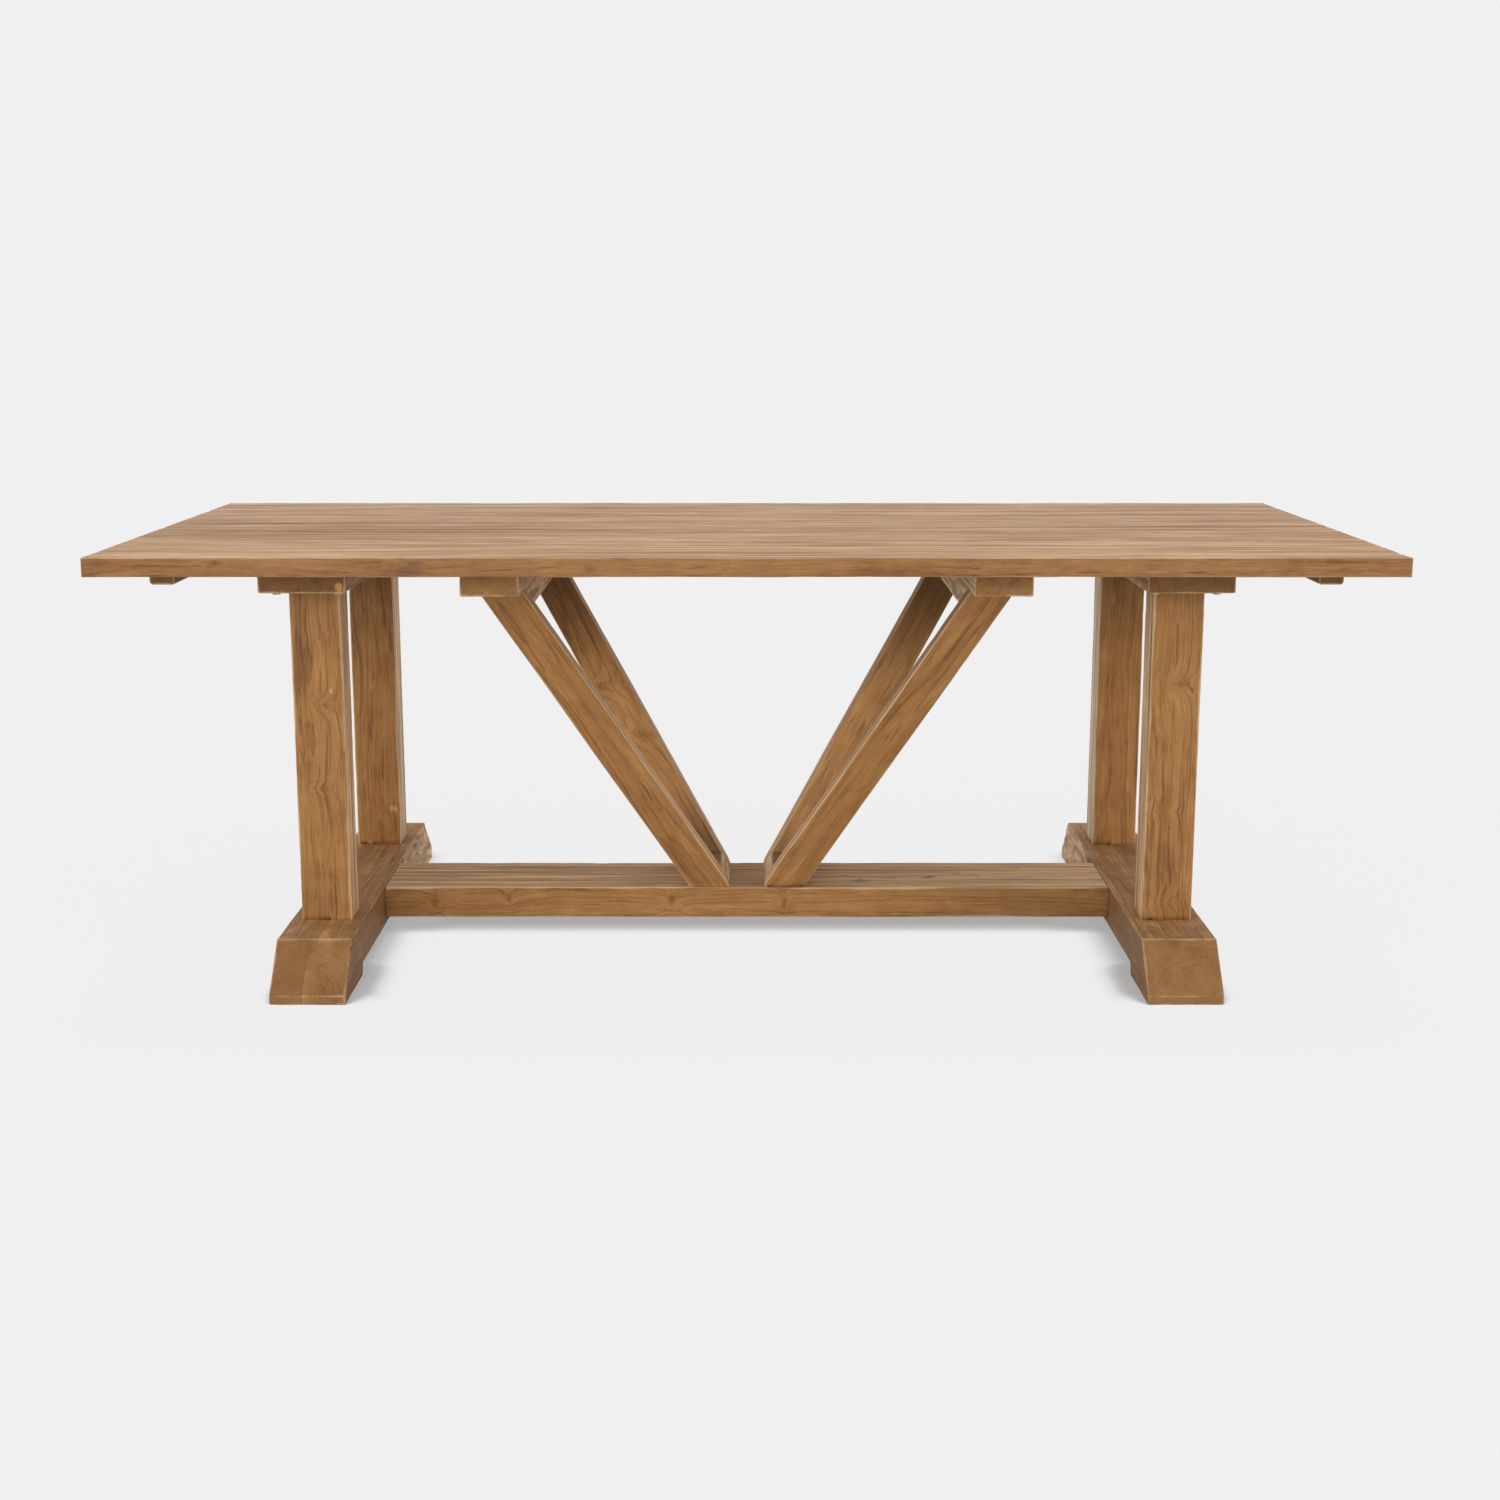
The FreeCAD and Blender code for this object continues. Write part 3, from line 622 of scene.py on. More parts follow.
    # The tone attribute scales the colour: painted light and shade by side and in holes, and the bark's paler
    # tone
    shader = put(tree, "ShaderNodeBsdfPrincipled",
                 {"Base Color": scaled(tree, tone, attribute(tree, "tone")), "Roughness": gloss,
                  "Normal": bump.outputs[0], "Specular IOR Level": 0.2})
    put(tree, "ShaderNodeOutputMaterial", {"Surface": shader.outputs[0]})
    return material


PLAIN_LOOK = {
    "knots": (), "knot_depth": 0.0, "pith": (0.05, 0.16), "spacing": 0.0055, "wander": 0.05,
    "shade": (1.0, 1.0, 1.0), "bare_shade": (1.0, 1.0, 1.0), "sides": {}, "plain": 0.1, "rough": {},
    "brushed": False, "cracks": 0.0, "ring_depth": 0.2, "wear": 0.55, "wear_width": 0.004, "seam": None,
    "fades": (), "chips": (), "stains": (), "tones": {}}


def look(seed, **changes):
    """How one timber looks: its seed, and what differs from the plain look.

    knots are (along, across, radius) at knot_depth from the middle of the timber; pith, spacing and
    wander shape the growth rings, and ring_depth is how dark they are on bare faces; sides, rough and
    tones give the weather, the relief and the lightness of a side, and plain the
    weather of the other sides; the lightness is painted light on some sides and painted shade on others;
    seam is the place across the face where two glued pieces meet; fades darken from one
    place along the grain to another, down to a share of the tone, as painted shade on the rear posts and
    braces and as a darker tone on the stretcher; chips are (along, across, depth, radius) and stains the
    same with a strength.
    """
    return {**PLAIN_LOOK, "seed": seed, **changes}


# Timber meshes

def grid_lines(low, high, radius, cell, extra=()):
    """Places of the grid lines along one direction: close on the rounded edges, even between them."""
    arc = radius * (1 - np.tan(np.radians(ARC_ANGLES)))
    count = max(1, math.ceil((high - low - 2 * radius) / cell))
    even = np.linspace(low + radius, high - radius, count + 1)
    return np.unique(np.concatenate([low + arc, even, high - arc, extra]).round(6))


def box_shell(lines):
    """Points and outward quads of a closed box whose sides are divided along the given lines."""
    skin = np.zeros([len(line) for line in lines], bool)
    for axis in range(3):
        view = np.moveaxis(skin, axis, 0)
        view[0] = view[-1] = True
    index = np.full(skin.shape, -1)
    index[skin] = np.arange(skin.sum())
    points = np.column_stack([line[at] for line, at in zip(lines, np.nonzero(skin))])
    quads = []
    for axis in range(3):
        for end in (0, -1):
            sheet = index.take(end, axis)
            ring = [sheet[:-1, :-1], sheet[1:, :-1], sheet[1:, 1:], sheet[:-1, 1:]]
            if (end == 0) != (axis == 1):
                ring.reverse()
            quads.append(np.stack(ring, -1).reshape(-1, 4))
    return points, np.concatenate(quads)


def side_of(name):
    """Axis and direction of a side such as +z."""
    return AXES.index(name[1]), 1 if name[0] == "+" else -1


def rounded_box(low, high, radius, cells, square=(), extra=None):
    """Points, quads, normals and edge distances of a box with rounded edges; square sides stay sharp."""
    low = np.array(low)
    high = np.array(high)
    start = low.copy()
    end = high.copy()
    for side in square:
        axis, sign = side_of(side)
        if sign > 0:
            end[axis] += radius
        else:
            start[axis] -= radius
    extra = extra or {}
    lines = [grid_lines(start[axis], end[axis], radius, cells[axis], extra.get(AXES[axis], ()))
             for axis in range(3)]
    points, quads = box_shell(lines)
    middle = (start + end) / 2
    half = (end - start) / 2
    local = points - middle
    edge = np.sort(half - np.abs(local), axis=1)[:, 1]
    core = np.clip(local, radius - half, half - radius)
    normals = local - core
    normals /= np.linalg.norm(normals, axis=1, keepdims=True)
    points = np.clip(middle + core + normals * radius, low, high)
    return points, quads, normals, edge


def by_side(normals, values, plain=0.0):
    """Spreads one value per side of a timber over its points."""
    spread = np.zeros(len(normals))
    for axis, letter in enumerate(AXES):
        for sign, mark in ((1, "+"), (-1, "-")):
            spread += values.get(mark + letter, plain) * np.clip(sign * normals[:, axis], 0, None) ** 2
    return spread


def link_object(name, mesh):
    """A new object in the scene."""
    piece = bpy.data.objects.new(name, mesh)
    bpy.context.scene.collection.objects.link(piece)
    return piece


def set_inputs(modifier, values):
    """Gives a node modifier its values by the identifiers of their sockets."""
    for item in modifier.node_group.interface.items_tree:
        if item.item_type == "SOCKET" and item.in_out == "INPUT" and item.name in values:
            modifier[item.identifier] = values[item.name]


def settle(piece):
    """Turns a piece's node result into its plain mesh."""
    graph = bpy.context.evaluated_depsgraph_get()
    mesh = bpy.data.meshes.new_from_object(
        piece.evaluated_get(graph), preserve_all_data_layers=True, depsgraph=graph)
    piece.modifiers.clear()
    plain = piece.data
    piece.data = mesh
    bpy.data.meshes.remove(plain)
    mesh.name = piece.name
    mesh.shade_smooth()


def seat(piece, slot, *nodes):
    """Hangs a finished piece on the table in place of its CAD nodes."""
    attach(piece, BODY)
    if nodes:
        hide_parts(*nodes)


@once
def weathering_tree():
    """Moves a timber's skin: hand-planed waves, grain grooves, rough places and dented edges."""
    tree, given, result = new_group(
        "Timber weathering", "GeometryNodeTree",
        {"Geometry": "geometry", "Seed": "value", "Wave Height": "value", "Wave Length": "value",
         "Nick Depth": "value", "Nick Length": "value", "Groove Depth": "value", "Groove Spacing": "value",
         "Material": "material"},
        {"Geometry": "geometry"})

    def named(name, kind):
        return put(tree, "GeometryNodeInputNamedAttribute", {"Name": name}, data_type=kind).outputs[0]

    def signed(value):
        return calc(tree, "MULTIPLY_ADD", value, 2.0, -1.0)

    grain = named("grain", "FLOAT_VECTOR")
    seed = given["Seed"]
    wave = noise(tree, scaled(tree, stretched(tree, grain, 1.0, 2.0, 2.0),
                              calc(tree, "DIVIDE", 1.0, given["Wave Length"])), seed, 1.5)
    lift = calc(tree, "MULTIPLY", signed(wave), given["Wave Height"])
    furrow = vector_calc(tree, "MULTIPLY", grain, put(
        tree, "ShaderNodeCombineXYZ", (3.5, calc(tree, "DIVIDE", 1.0, given["Groove Spacing"]),
                                       calc(tree, "DIVIDE", 1.0, given["Groove Spacing"]))).outputs[0])
    groove = calc(tree, "MULTIPLY", signed(noise(tree, furrow, seed, 2.0)), given["Groove Depth"])
    lift = calc(tree, "MULTIPLY_ADD", groove, named("weather", "FLOAT"), lift)
    gnarl = noise(tree, stretched(tree, grain, 16.0, 42.0, 42.0), seed, 3.0)
    lift = calc(tree, "MULTIPLY_ADD", signed(gnarl), named("rough", "FLOAT"), lift)
    dent = noise(tree, scaled(tree, stretched(tree, grain, 1.0, 2.0, 2.0),
                              calc(tree, "DIVIDE", 1.0, given["Nick Length"])), seed, 2.0)
    dent = calc(tree, "MULTIPLY", smooth(tree, dent, 0.52, 0.75), given["Nick Depth"])
    near_edge = smooth(tree, named("edge", "FLOAT"), 0.0, 0.006, 1.0, 0.0)
    lift = calc(tree, "SUBTRACT", lift, calc(tree, "MULTIPLY", dent, near_edge))
    normal = tree.nodes.new("GeometryNodeInputNormal").outputs[0]
    lifted = put(tree, "GeometryNodeSetPosition",
                 {"Geometry": given["Geometry"], "Offset": scaled(tree, normal, lift)})
    dress(tree, given, result, lifted.outputs[0])
    return tree


def grain_of(points, middle, order):
    """Points as (along, across, depth) from the middle of a timber."""
    return (points - middle)[:, order]


def write_attributes(mesh, grain, **values):
    """Stores the grain and one value of each other kind on every point."""
    store = mesh.attributes.new("grain", "FLOAT_VECTOR", "POINT")
    store.data.foreach_set("vector", np.ascontiguousarray(grain, np.float32).ravel())
    for name, data in values.items():
        store = mesh.attributes.new(name, "FLOAT", "POINT")
        store.data.foreach_set("value", np.ascontiguousarray(data, np.float32))


def stand_on_floor(mesh):
    """Lifts points that the waves have pushed into the floor."""
    points = np.empty(len(mesh.vertices) * 3, np.float32)
    mesh.vertices.foreach_get("co", points)
    points[2::3] = np.maximum(points[2::3], 0.0)
    mesh.vertices.foreach_set("co", points)
    mesh.update()


def round_bars(bars, sides=48):
    """Closed round bars between two points each, as one mesh."""
    points = []
    faces = []
    turn = np.arange(sides) * math.tau / sides
    for start, end, radius in bars:
        start = np.array(start)
        end = np.array(end)
        first = len(points)
        axis = Vector(end - start).normalized()
        side = np.array(axis.orthogonal().normalized())
        other = np.cross(np.array(axis), side)
        ring = radius * (np.outer(np.cos(turn), side) + np.outer(np.sin(turn), other))
        points += (start + ring).tolist() + (end + ring).tolist()
        faces.append([first + i for i in reversed(range(sides))])
        faces.append([first + sides + i for i in range(sides)])
        for i in range(sides):
            after = (i + 1) % sides
            faces.append([first + i, first + after, first + sides + after, first + sides + i])
    mesh = bpy.data.meshes.new("bars")
    mesh.from_pydata(points, [], faces)
    return mesh


def mend_holes(mesh, holes, middle, axes):
    """Gives the points of cut holes their grain and painted shade, and keeps the holes' rims sharp."""
    count = len(mesh.vertices)
    points = np.empty(count * 3, np.float32)
    mesh.vertices.foreach_get("co", points)
    points = points.reshape(-1, 3)
    cut = np.zeros(count, bool)
    for start, end, radius in holes:
        start = np.array(start)
        axis = np.array(end) - start
        reach = np.linalg.norm(axis)
        axis = axis / reach
        along = (points - start) @ axis
        aside = np.linalg.norm(points - start - np.outer(along, axis), axis=1)
        cut |= (aside < radius * 1.01) & (along > -HOLE_SLACK) & (along < reach + HOLE_SLACK)
    fresh = {"grain": grain_of(points, middle, axes), "edge": np.full(count, 0.05),
             "weather": np.zeros(count), "end": np.zeros(count), "tone": np.full(count, HOLE_PAINTED_SHADE)}
    for name, values in fresh.items():
        store = mesh.attributes[name].data
        part = "vector" if name == "grain" else "value"
        kept = np.empty(count * (3 if name == "grain" else 1), np.float32)
        store.foreach_get(part, kept)
        kept = kept.reshape(values.shape)
        kept[cut] = values[cut]
        store.foreach_set(part, kept.ravel())
    mesh.set_sharp_from_angle(angle=math.radians(50))


def timber(node, slot, low, high, order, style, radius=None, cells=None, square=(), extra=None, shape=None,
           roughen=None, crease=None, holes=()):
    """Builds one weathered timber between two corners, in place of its CAD node.

    order names the axes along the grain, across the face and into it; shape bends the plain box;
    roughen returns relief in metres for points that are rougher than their side; crease returns the
    distance of points from an extra pale line, partly wear and partly a painted highlight; holes are
    bars to be cut out, as (start, end, radius).
    """
    sizes = table().timber
    along, across = cells or (sizes.cell_along, sizes.cell_across)
    axes = [AXES.index(letter) for letter in order]
    steps = [across] * 3
    steps[axes[0]] = along
    points, quads, normals, edge = rounded_box(low, high, radius or sizes.arris, steps, square, extra)
    middle = (np.array(low) + np.array(high)) / 2
    grain = grain_of(points, middle, axes)
    rough = by_side(normals, style["rough"])
    weather = by_side(normals, style["sides"], style["plain"])
    # Lightness by side: painted light on the feet's tops, painted shade on the blocks' tops and on the
    # boards' joints, a darker tone on the feet's inner sides
    tone = by_side(normals, style["tones"], 1.0)
    if roughen:
        gnarled = roughen(points, normals)
        rough = rough + gnarled
        bark = np.clip(gnarled / BARK_RELIEF, 0, 1)
        edge = edge * (1 - bark)
        tone = tone * (1 - bark) + BARK_TONE * bark
    if crease:
        edge = np.minimum(edge, crease(points, normals))
    place = shape(points) if shape else points
    mesh = bpy.data.meshes.new(node + "_timber")
    mesh.from_pydata(place.tolist(), [], quads.tolist())
    write_attributes(mesh, grain, edge=edge, rough=rough, weather=weather, end=normals[:, axes[0]] ** 2,
                     tone=tone)
    piece = link_object(node + "_timber", mesh)
    modifier = piece.modifiers.new("Weathering", "NODES")
    modifier.node_group = weathering_tree()
    set_inputs(modifier, {
        "Seed": float(style["seed"]), "Wave Height": sizes.wave_height, "Wave Length": sizes.wave_length,
        "Nick Depth": sizes.nick_depth, "Nick Length": sizes.nick_length,
        "Groove Depth": sizes.groove_depth, "Groove Spacing": sizes.groove_spacing,
        "Material": teak_material(node + "_teak", style)})
    if holes:
        cutter = link_object("cutter", round_bars(holes))
        modifier = piece.modifiers.new("Holes", "BOOLEAN")
        modifier.operation = "DIFFERENCE"
        modifier.solver = "EXACT"
        modifier.object = cutter
        settle(piece)
        bpy.data.meshes.remove(cutter.data)
        mend_holes(piece.data, holes, middle, axes)
    else:
        settle(piece)
    stand_on_floor(piece.data)
    seat(piece, slot, node)


def corners(node):
    """Lowest and highest corner of a CAD node."""
    low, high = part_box(node)
    return np.array(low), np.array(high)


def level_span(node, z):
    """Lowest and highest x and y of a CAD node's points at one height."""
    points = np.array([vertex.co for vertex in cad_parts[node].data.vertices])
    level = points[np.abs(points[:, 2] - z) < 0.0005]
    return level.min(0), level.max(0)


# Timbers of the table

TOP_SHADE = (0.85, 0.85, 0.93)

TOP_STAINS = ((-0.564, -0.125, -0.001, 0.022, 0.7), (-0.878, -0.125, 0.008, 0.008, 0.8),
              (-0.259, -0.125, -0.004, 0.010, 0.5), (0.248, -0.125, -0.009, 0.010, 0.5),
              (0.897, -0.125, -0.001, 0.020, 0.3))

# Painted shade on the rounded edges where two boards meet: how dark they are
JOINT_PAINTED_SHADE = 0.35


def top_look(seed, pith, spacing, bare_shade, joints, stains=()):
    """A brushed board of the top; joints are the sides that meet another board, and they get painted shade.
    """
    return look(seed, pith=pith, spacing=spacing, sides={"+z": 1.0}, plain=0.0, brushed=True, cracks=0.3,
                wear=0.25, wear_width=0.002, shade=TOP_SHADE, bare_shade=bare_shade, stains=stains,
                tones={side: JOINT_PAINTED_SHADE for side in joints})


TOP_LOOKS = (
    top_look(11, (0.30, 0.09), 0.006, (1.04, 1.04, 1.03), ("+y",), TOP_STAINS),
    top_look(27, (0.26, 0.12), 0.005, (0.89, 0.88, 0.86), ("+y", "-y")),
    top_look(38, (-0.28, 0.10), 0.006, (0.91, 0.92, 0.94), ("+y", "-y")),
    top_look(49, (0.32, 0.08), 0.005, (0.93, 0.96, 1.0), ("-y",)),
)


def build_top():
    """Brushed boards of the top."""
    sizes = table().timber
    for index, style in enumerate(TOP_LOOKS, 1):
        node = f"top_board_{index}"
        timber(node, "top_teak", *corners(node), "xyz", style, sizes.top_arris,
               (sizes.top_cell_along, sizes.top_cell_across))


def build_battens():
    """End battens with rounded lower edges."""
    for seed, side in ((5, "left"), (6, "right")):
        node = f"end_batten_{side}"
        timber(node, "frame_teak", *corners(node), "yxz", look(seed, plain=0.0, shade=(0.58, 0.62, 0.56)),
               table().timber.batten_arris, square=("+z",))


def build_trestle_bearers():
    """Bearers over the posts."""
    for seed, side, inner in ((7, "left", "+x"), (8, "right", "-x")):
        node = f"trestle_bearer_{side}"
        chips = ((-0.405, 0.064, -0.009, 0.009),) if side == "left" else ()
        style = look(seed, plain=0.0, sides={inner: 0.6}, pith=(0.02, 0.03), shade=(0.60, 0.62, 0.66),
                     chips=chips)
        timber(node, "frame_teak", *corners(node), "yxz", style, square=("+z",))


def build_brace_bearers():
    """Bearers over the head rails."""
    for seed, side, inner in ((9, "left", "+x"), (10, "right", "-x")):
        node = f"brace_bearer_{side}"
        stains = ((-0.445, 0.012, 0.002, 0.016, 0.6),) if side == "right" else ()
        style = look(seed, plain=0.0, sides={inner: 0.9}, pith=(0.02, 0.03), shade=(0.82, 0.83, 0.85),
                     stains=stains)
        timber(node, "frame_teak", *corners(node), "yxz", style, square=("+z",))


POST_LOOKS = {
    "left_front": look(12, pith=(0.03, 0.12), knots=(
        (0.092, 0.012, 0.010), (-0.059, 0.0, 0.011)), sides={"+x": 0.75, "-x": 0.4},
        bare_shade=(1.1, 1.05, 0.98), chips=((0.117, 0.023, -0.036, 0.004),)),
    # Rear post: its weathered sides are painted lighter, a painted light where other parts shade them, and
    # its upper end gets painted shade under the top
    "left_rear": look(13, pith=(-0.04, 0.10), knots=((-0.227, 0.028, 0.007),),
                      sides={"+x": 0.85, "-x": 0.4}, shade=(1.08, 1.07, 1.05),
                      bare_shade=(1.65, 1.88, 2.2), fades=((0.0, 0.26, 0.72),),
                      chips=((-0.227, 0.0278, -0.036, 0.006), (-0.229, 0.036, -0.036, 0.005))),
    "right_front": look(14, pith=(0.05, 0.07), knots=(
        (0.13, 0.01, 0.012), (-0.103, -0.014, 0.008), (-0.272, -0.005, 0.009)),
        sides={"-x": 0.75, "+x": 0.4}, bare_shade=(1.1, 1.1, 1.1)),
    # Rear post: its weathered sides are painted lighter, a painted light where other parts shade them, and
    # its upper end gets painted shade under the top
    "right_rear": look(15, pith=(0.02, 0.11), sides={"-x": 0.85, "+x": 0.4}, shade=(1.10, 1.08, 1.05),
                       bare_shade=(1.65, 2.1, 2.7), fades=((0.0, 0.26, 0.70),)),
}


def build_posts():
    """Posts between the feet and the bearers."""
    for place, style in POST_LOOKS.items():
        side = place.split("_")[0]
        node = f"post_{place}"
        low, high = corners(node)
        low[2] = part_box(f"foot_{side}")[1].z
        high[2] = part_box(f"trestle_bearer_{side}")[0].z
        timber(node, "frame_teak", low, high, "zxy", style, square=("+z", "-z"))


# Painted light: the feet's tops are lightened against the shade of the table top; their inner sides are a
# darker tone
FOOT_LOOKS = {
    "left": look(16, pith=(0.02, 0.06), knots=((-0.445, 0.018, 0.010),), plain=0.05, seam=-0.0105,
                 shade=(0.86, 0.90, 1.0), sides={"+z": 0.35, "+x": 0.1}, tones={"+x": 0.76, "+z": 1.35},
                 rough={"+x": 0.0006}, wear=0.34),
    "right": look(17, pith=(-0.03, 0.07), plain=0.05, shade=(0.82, 0.86, 0.96),
                  sides={"+z": 0.35, "-x": 0.1}, tones={"-x": 0.76, "+z": 1.35}, rough={"-x": 0.0008},
                  wear=0.34),
}


def build_feet():
    """Feet with sloped toes, a relief underneath and a pocket for the bolt."""
    sizes = table().foot
    for side, style in FOOT_LOOKS.items():
        node = f"foot_{side}"
        low, high = corners(node)
        reach = high[1]
        height = high[2]
        relief = sizes.relief_length / 2

        def shape(points):
            points = points.copy()
            rise = np.clip((points[:, 2] - sizes.toe_height) / (height - sizes.toe_height), 0, 1)
            points[:, 1] *= 1 - rise * sizes.toe_run / reach
            hollow = np.clip((relief - np.abs(points[:, 1])) / sizes.relief_slant, 0, 1) * sizes.relief_height
            points[:, 2] = hollow + points[:, 2] * (height - hollow) / height
            return points

        inward = 1 if side == "left" else -1
        depth = sizes.wane_depth if side == "left" else sizes.groove_depth

        def roughen(points, normals):
            facing = np.clip(inward * normals[:, 0], 0, None)
            rear = np.clip((points[:, 1] - sizes.wane_start) / BARK_FADE, 0, 1)
            return depth * facing * rear

        ends = [relief, relief - sizes.relief_slant]
        extra = {"y": ends + [-end for end in ends], "z": [sizes.toe_height]}

        # Pale line along the toe's crease: partly wear, partly a painted highlight
        def crease(points, normals):
            kink = TOE_WEAR_AND_HIGHLIGHT + 2 * np.abs(points[:, 2] - sizes.toe_height)
            return np.where(np.abs(normals[:, 1]) > 0.9, kink, 1.0)

        outer = low[0] if side == "left" else high[0]
        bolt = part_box("stretcher_bolts")
        level = (bolt[0].z + bolt[1].z) / 2
        pocket = ((outer - inward * 0.01, 0.0, level), (outer + inward * sizes.pocket_depth, 0.0, level),
                  sizes.pocket_diameter / 2)
        timber(node, "frame_teak", low, high, "yxz", style, extra=extra, shape=shape, roughen=roughen,
               crease=crease, holes=[pocket])


def build_stretcher():
    """Stretcher with the holes of its barrel nuts."""
    low, high = corners("stretcher")
    low[0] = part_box("foot_left")[1].x
    high[0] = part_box("foot_right")[0].x
    # The stretcher gets darker towards its right end
    style = look(18, pith=(0.02, 0.09), spacing=0.008, cracks=1.0, plain=0.03, sides={"+z": 1.0},
                 shade=(1.03, 1.03, 1.05), bare_shade=(1.29, 1.36, 1.39), fades=((0.2, 0.5, 0.8),),
                 knot_depth=-0.085, knots=((-0.596, 0.004, 0.011), (-0.4545, 0.010, 0.008),
                                           (-0.143, 0.004, 0.011), (0.071, -0.001, 0.008)))
    holes = []
    for nut_low, nut_high in separate_boxes("stretcher_barrel_nuts"):
        x, y, _ = (nut_low + nut_high) / 2
        radius = (nut_high[0] - nut_low[0]) / 2 + NUT_PLAY
        holes.append(((x, y, low[2] - 0.01), (x, y, nut_high[2]), radius))
    timber("stretcher", "frame_teak", low, high, "xzy", style, holes=holes)


BRACE_LOOKS = {
    "left_front": look(19, pith=(0.02, 0.11), sides={"+x": 0.9}, bare_shade=(1.15, 1.15, 1.15)),
    # Rear brace: its heartwood is painted lighter, a painted light for its lit middle, with painted shade
    # towards its upper end under the top and its lower end by the block
    "left_rear": look(20, pith=(0.03, 0.10), knots=((-0.054, 0.014, 0.017), (0.038, -0.018, 0.015)),
                      sides={"+x": 0.9}, shade=(1.7, 1.8, 2.0), bare_shade=(1.3, 1.3, 1.3),
                      fades=((0.0, 0.24, 0.36), (-0.15, -0.25, 0.5))),
    "right_front": look(21, pith=(-0.02, 0.12), sides={"-x": 0.9}, bare_shade=(1.15, 1.15, 1.15)),
    # Rear brace: its heartwood is painted lighter, a painted light for its lit middle, with painted shade
    # towards its upper end under the top and its lower end by the block
    "right_rear": look(22, pith=(0.02, 0.13), sides={"-x": 0.9}, shade=(1.48, 1.6, 1.8),
                       bare_shade=(1.3, 1.3, 1.3), fades=((0.0, 0.24, 0.34), (-0.2, -0.27, 0.72))),
}


def build_braces():
    """Braces that lean along the table and to its front or rear."""
    for place, style in BRACE_LOOKS.items():
        node = f"brace_{place}"
        low, high = corners(node)
        foot_low, foot_high = level_span(node, low[2])
        head_low, head_high = level_span(node, high[2])
        width = head_high - head_low
        leans_right = place.startswith("right")
        outer = foot_high if leans_right else foot_low + width
        start = outer - width
        start[1] = foot_low[1]
        slope = (head_low - start) / (high[2] - low[2])
        start[2] = low[2]
        end = start + width
        end[2] = high[2]

        def shape(points):
            up = points[:, 2] - low[2]
            points = points + np.outer(up, (slope[0], slope[1], 0.0))
            points[:, 0] = np.clip(points[:, 0], low[0], high[0])
            return points

        timber(node, "frame_teak", start, end, "zxy", style, square=("+z", "-z"), shape=shape)


def tapered(node, low, high):
    """A shape that follows the CAD node's outline from its lower to its upper level."""
    spans = [level_span(node, z) for z in (low[2], high[2])]
    middles = [(span[0] + span[1]) / 2 for span in spans]
    widths = [span[1] - span[0] for span in spans]
    middle = (low + high) / 2
    width = high - low

    def shape(points):
        share = ((points[:, 2] - low[2]) / width[2])[:, None]
        there = middles[0] + (middles[1] - middles[0]) * share
        wide = widths[0] + (widths[1] - widths[0]) * share
        placed = there + (points - middle) / width * wide
        placed[:, 2] = points[:, 2]
        return placed
    return shape


def build_head_rails():
    """Rails between the upper ends of the braces."""
    sides = ((23, "left", "+x", (1.42, 1.52, 1.6)), (24, "right", "-x", (1.68, 1.95, 2.2)))
    for seed, side, inner, pale in sides:
        node = f"brace_head_rail_{side}"
        low, high = corners(node)
        style = look(seed, pith=(0.0, 0.03), spacing=0.009, wander=0.09, ring_depth=0.85, sides={inner: 1.0},
                     plain=0.4, bare_shade=pale)
        timber(node, "frame_teak", low, high, "yzx", style, square=("+z", "+y", "-y"),
               shape=tapered(node, low, high))


def build_blocks():
    """Rough filler blocks between the lower ends of the braces."""
    sides = ((25, "left", "+x", (2.55, 2.6, 2.7)), (26, "right", "-x", (2.0, 2.0, 2.05)))
    for seed, side, inner, pale in sides:
        node = f"brace_block_{side}"
        low, high = corners(node)
        low[2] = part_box("stretcher")[1].z
        # Painted shade: the blocks' tops are darkened, as they lie in shade between the braces
        style = look(seed, sides={inner: 1.0, "+z": 0.4}, plain=0.3, rough={inner: 0.0022}, cracks=1.0,
                     ring_depth=0.5, bare_shade=pale, tones={"+z": 0.6})
        timber(node, "frame_teak", low, high, "yzx", style, square=("-z", "+y", "-y"),
               shape=tapered(node, low, high))


# Fasteners

@once
def zinc_material():
    """Yellow zinc with a patchy film."""
    finish = table().finish
    material, tree = new_material("yellow_zinc")
    place = put(tree, "ShaderNodeTexCoord").outputs["Object"]
    film = noise(tree, scaled(tree, place, 160.0), 3.0, 3.0)
    tone = mixed(tree, smooth(tree, film, 0.35, 0.65), (*finish.zinc_dull, 1.0), (*finish.zinc, 1.0))
    gloss = calc(tree, "MULTIPLY_ADD", film, 0.3, 0.2)
    shader = put(tree, "ShaderNodeBsdfPrincipled", {"Base Color": tone, "Metallic": 1.0, "Roughness": gloss})
    put(tree, "ShaderNodeOutputMaterial", {"Surface": shader.outputs[0]})
    return material


@once
def joinery_material():
    """Raw wood of the tongues and tenons."""
    finish = table().finish
    material, tree = new_material("raw_joinery_wood")
    place = put(tree, "ShaderNodeTexCoord").outputs["Object"]
    figure = use_group(tree, figure_group(), Grain=place, Seed=31.0, Pith=(0.0, 0.1, 0.2), Spacing=0.004,
                       Wander=0.02)
    dark = shaded(finish.joinery, (0.75, 0.7, 0.65))
    tone = mixed(tree, smooth(tree, figure["Fibre"], 0.3, 0.7), dark, (*finish.joinery, 1.0))
    tone = mixed(tree, calc(tree, "MULTIPLY", figure["Rings"], 0.3), tone, dark)
    shader = put(tree, "ShaderNodeBsdfPrincipled", {"Base Color": tone, "Roughness": 0.7})
    put(tree, "ShaderNodeOutputMaterial", {"Surface": shader.outputs[0]})
    return material


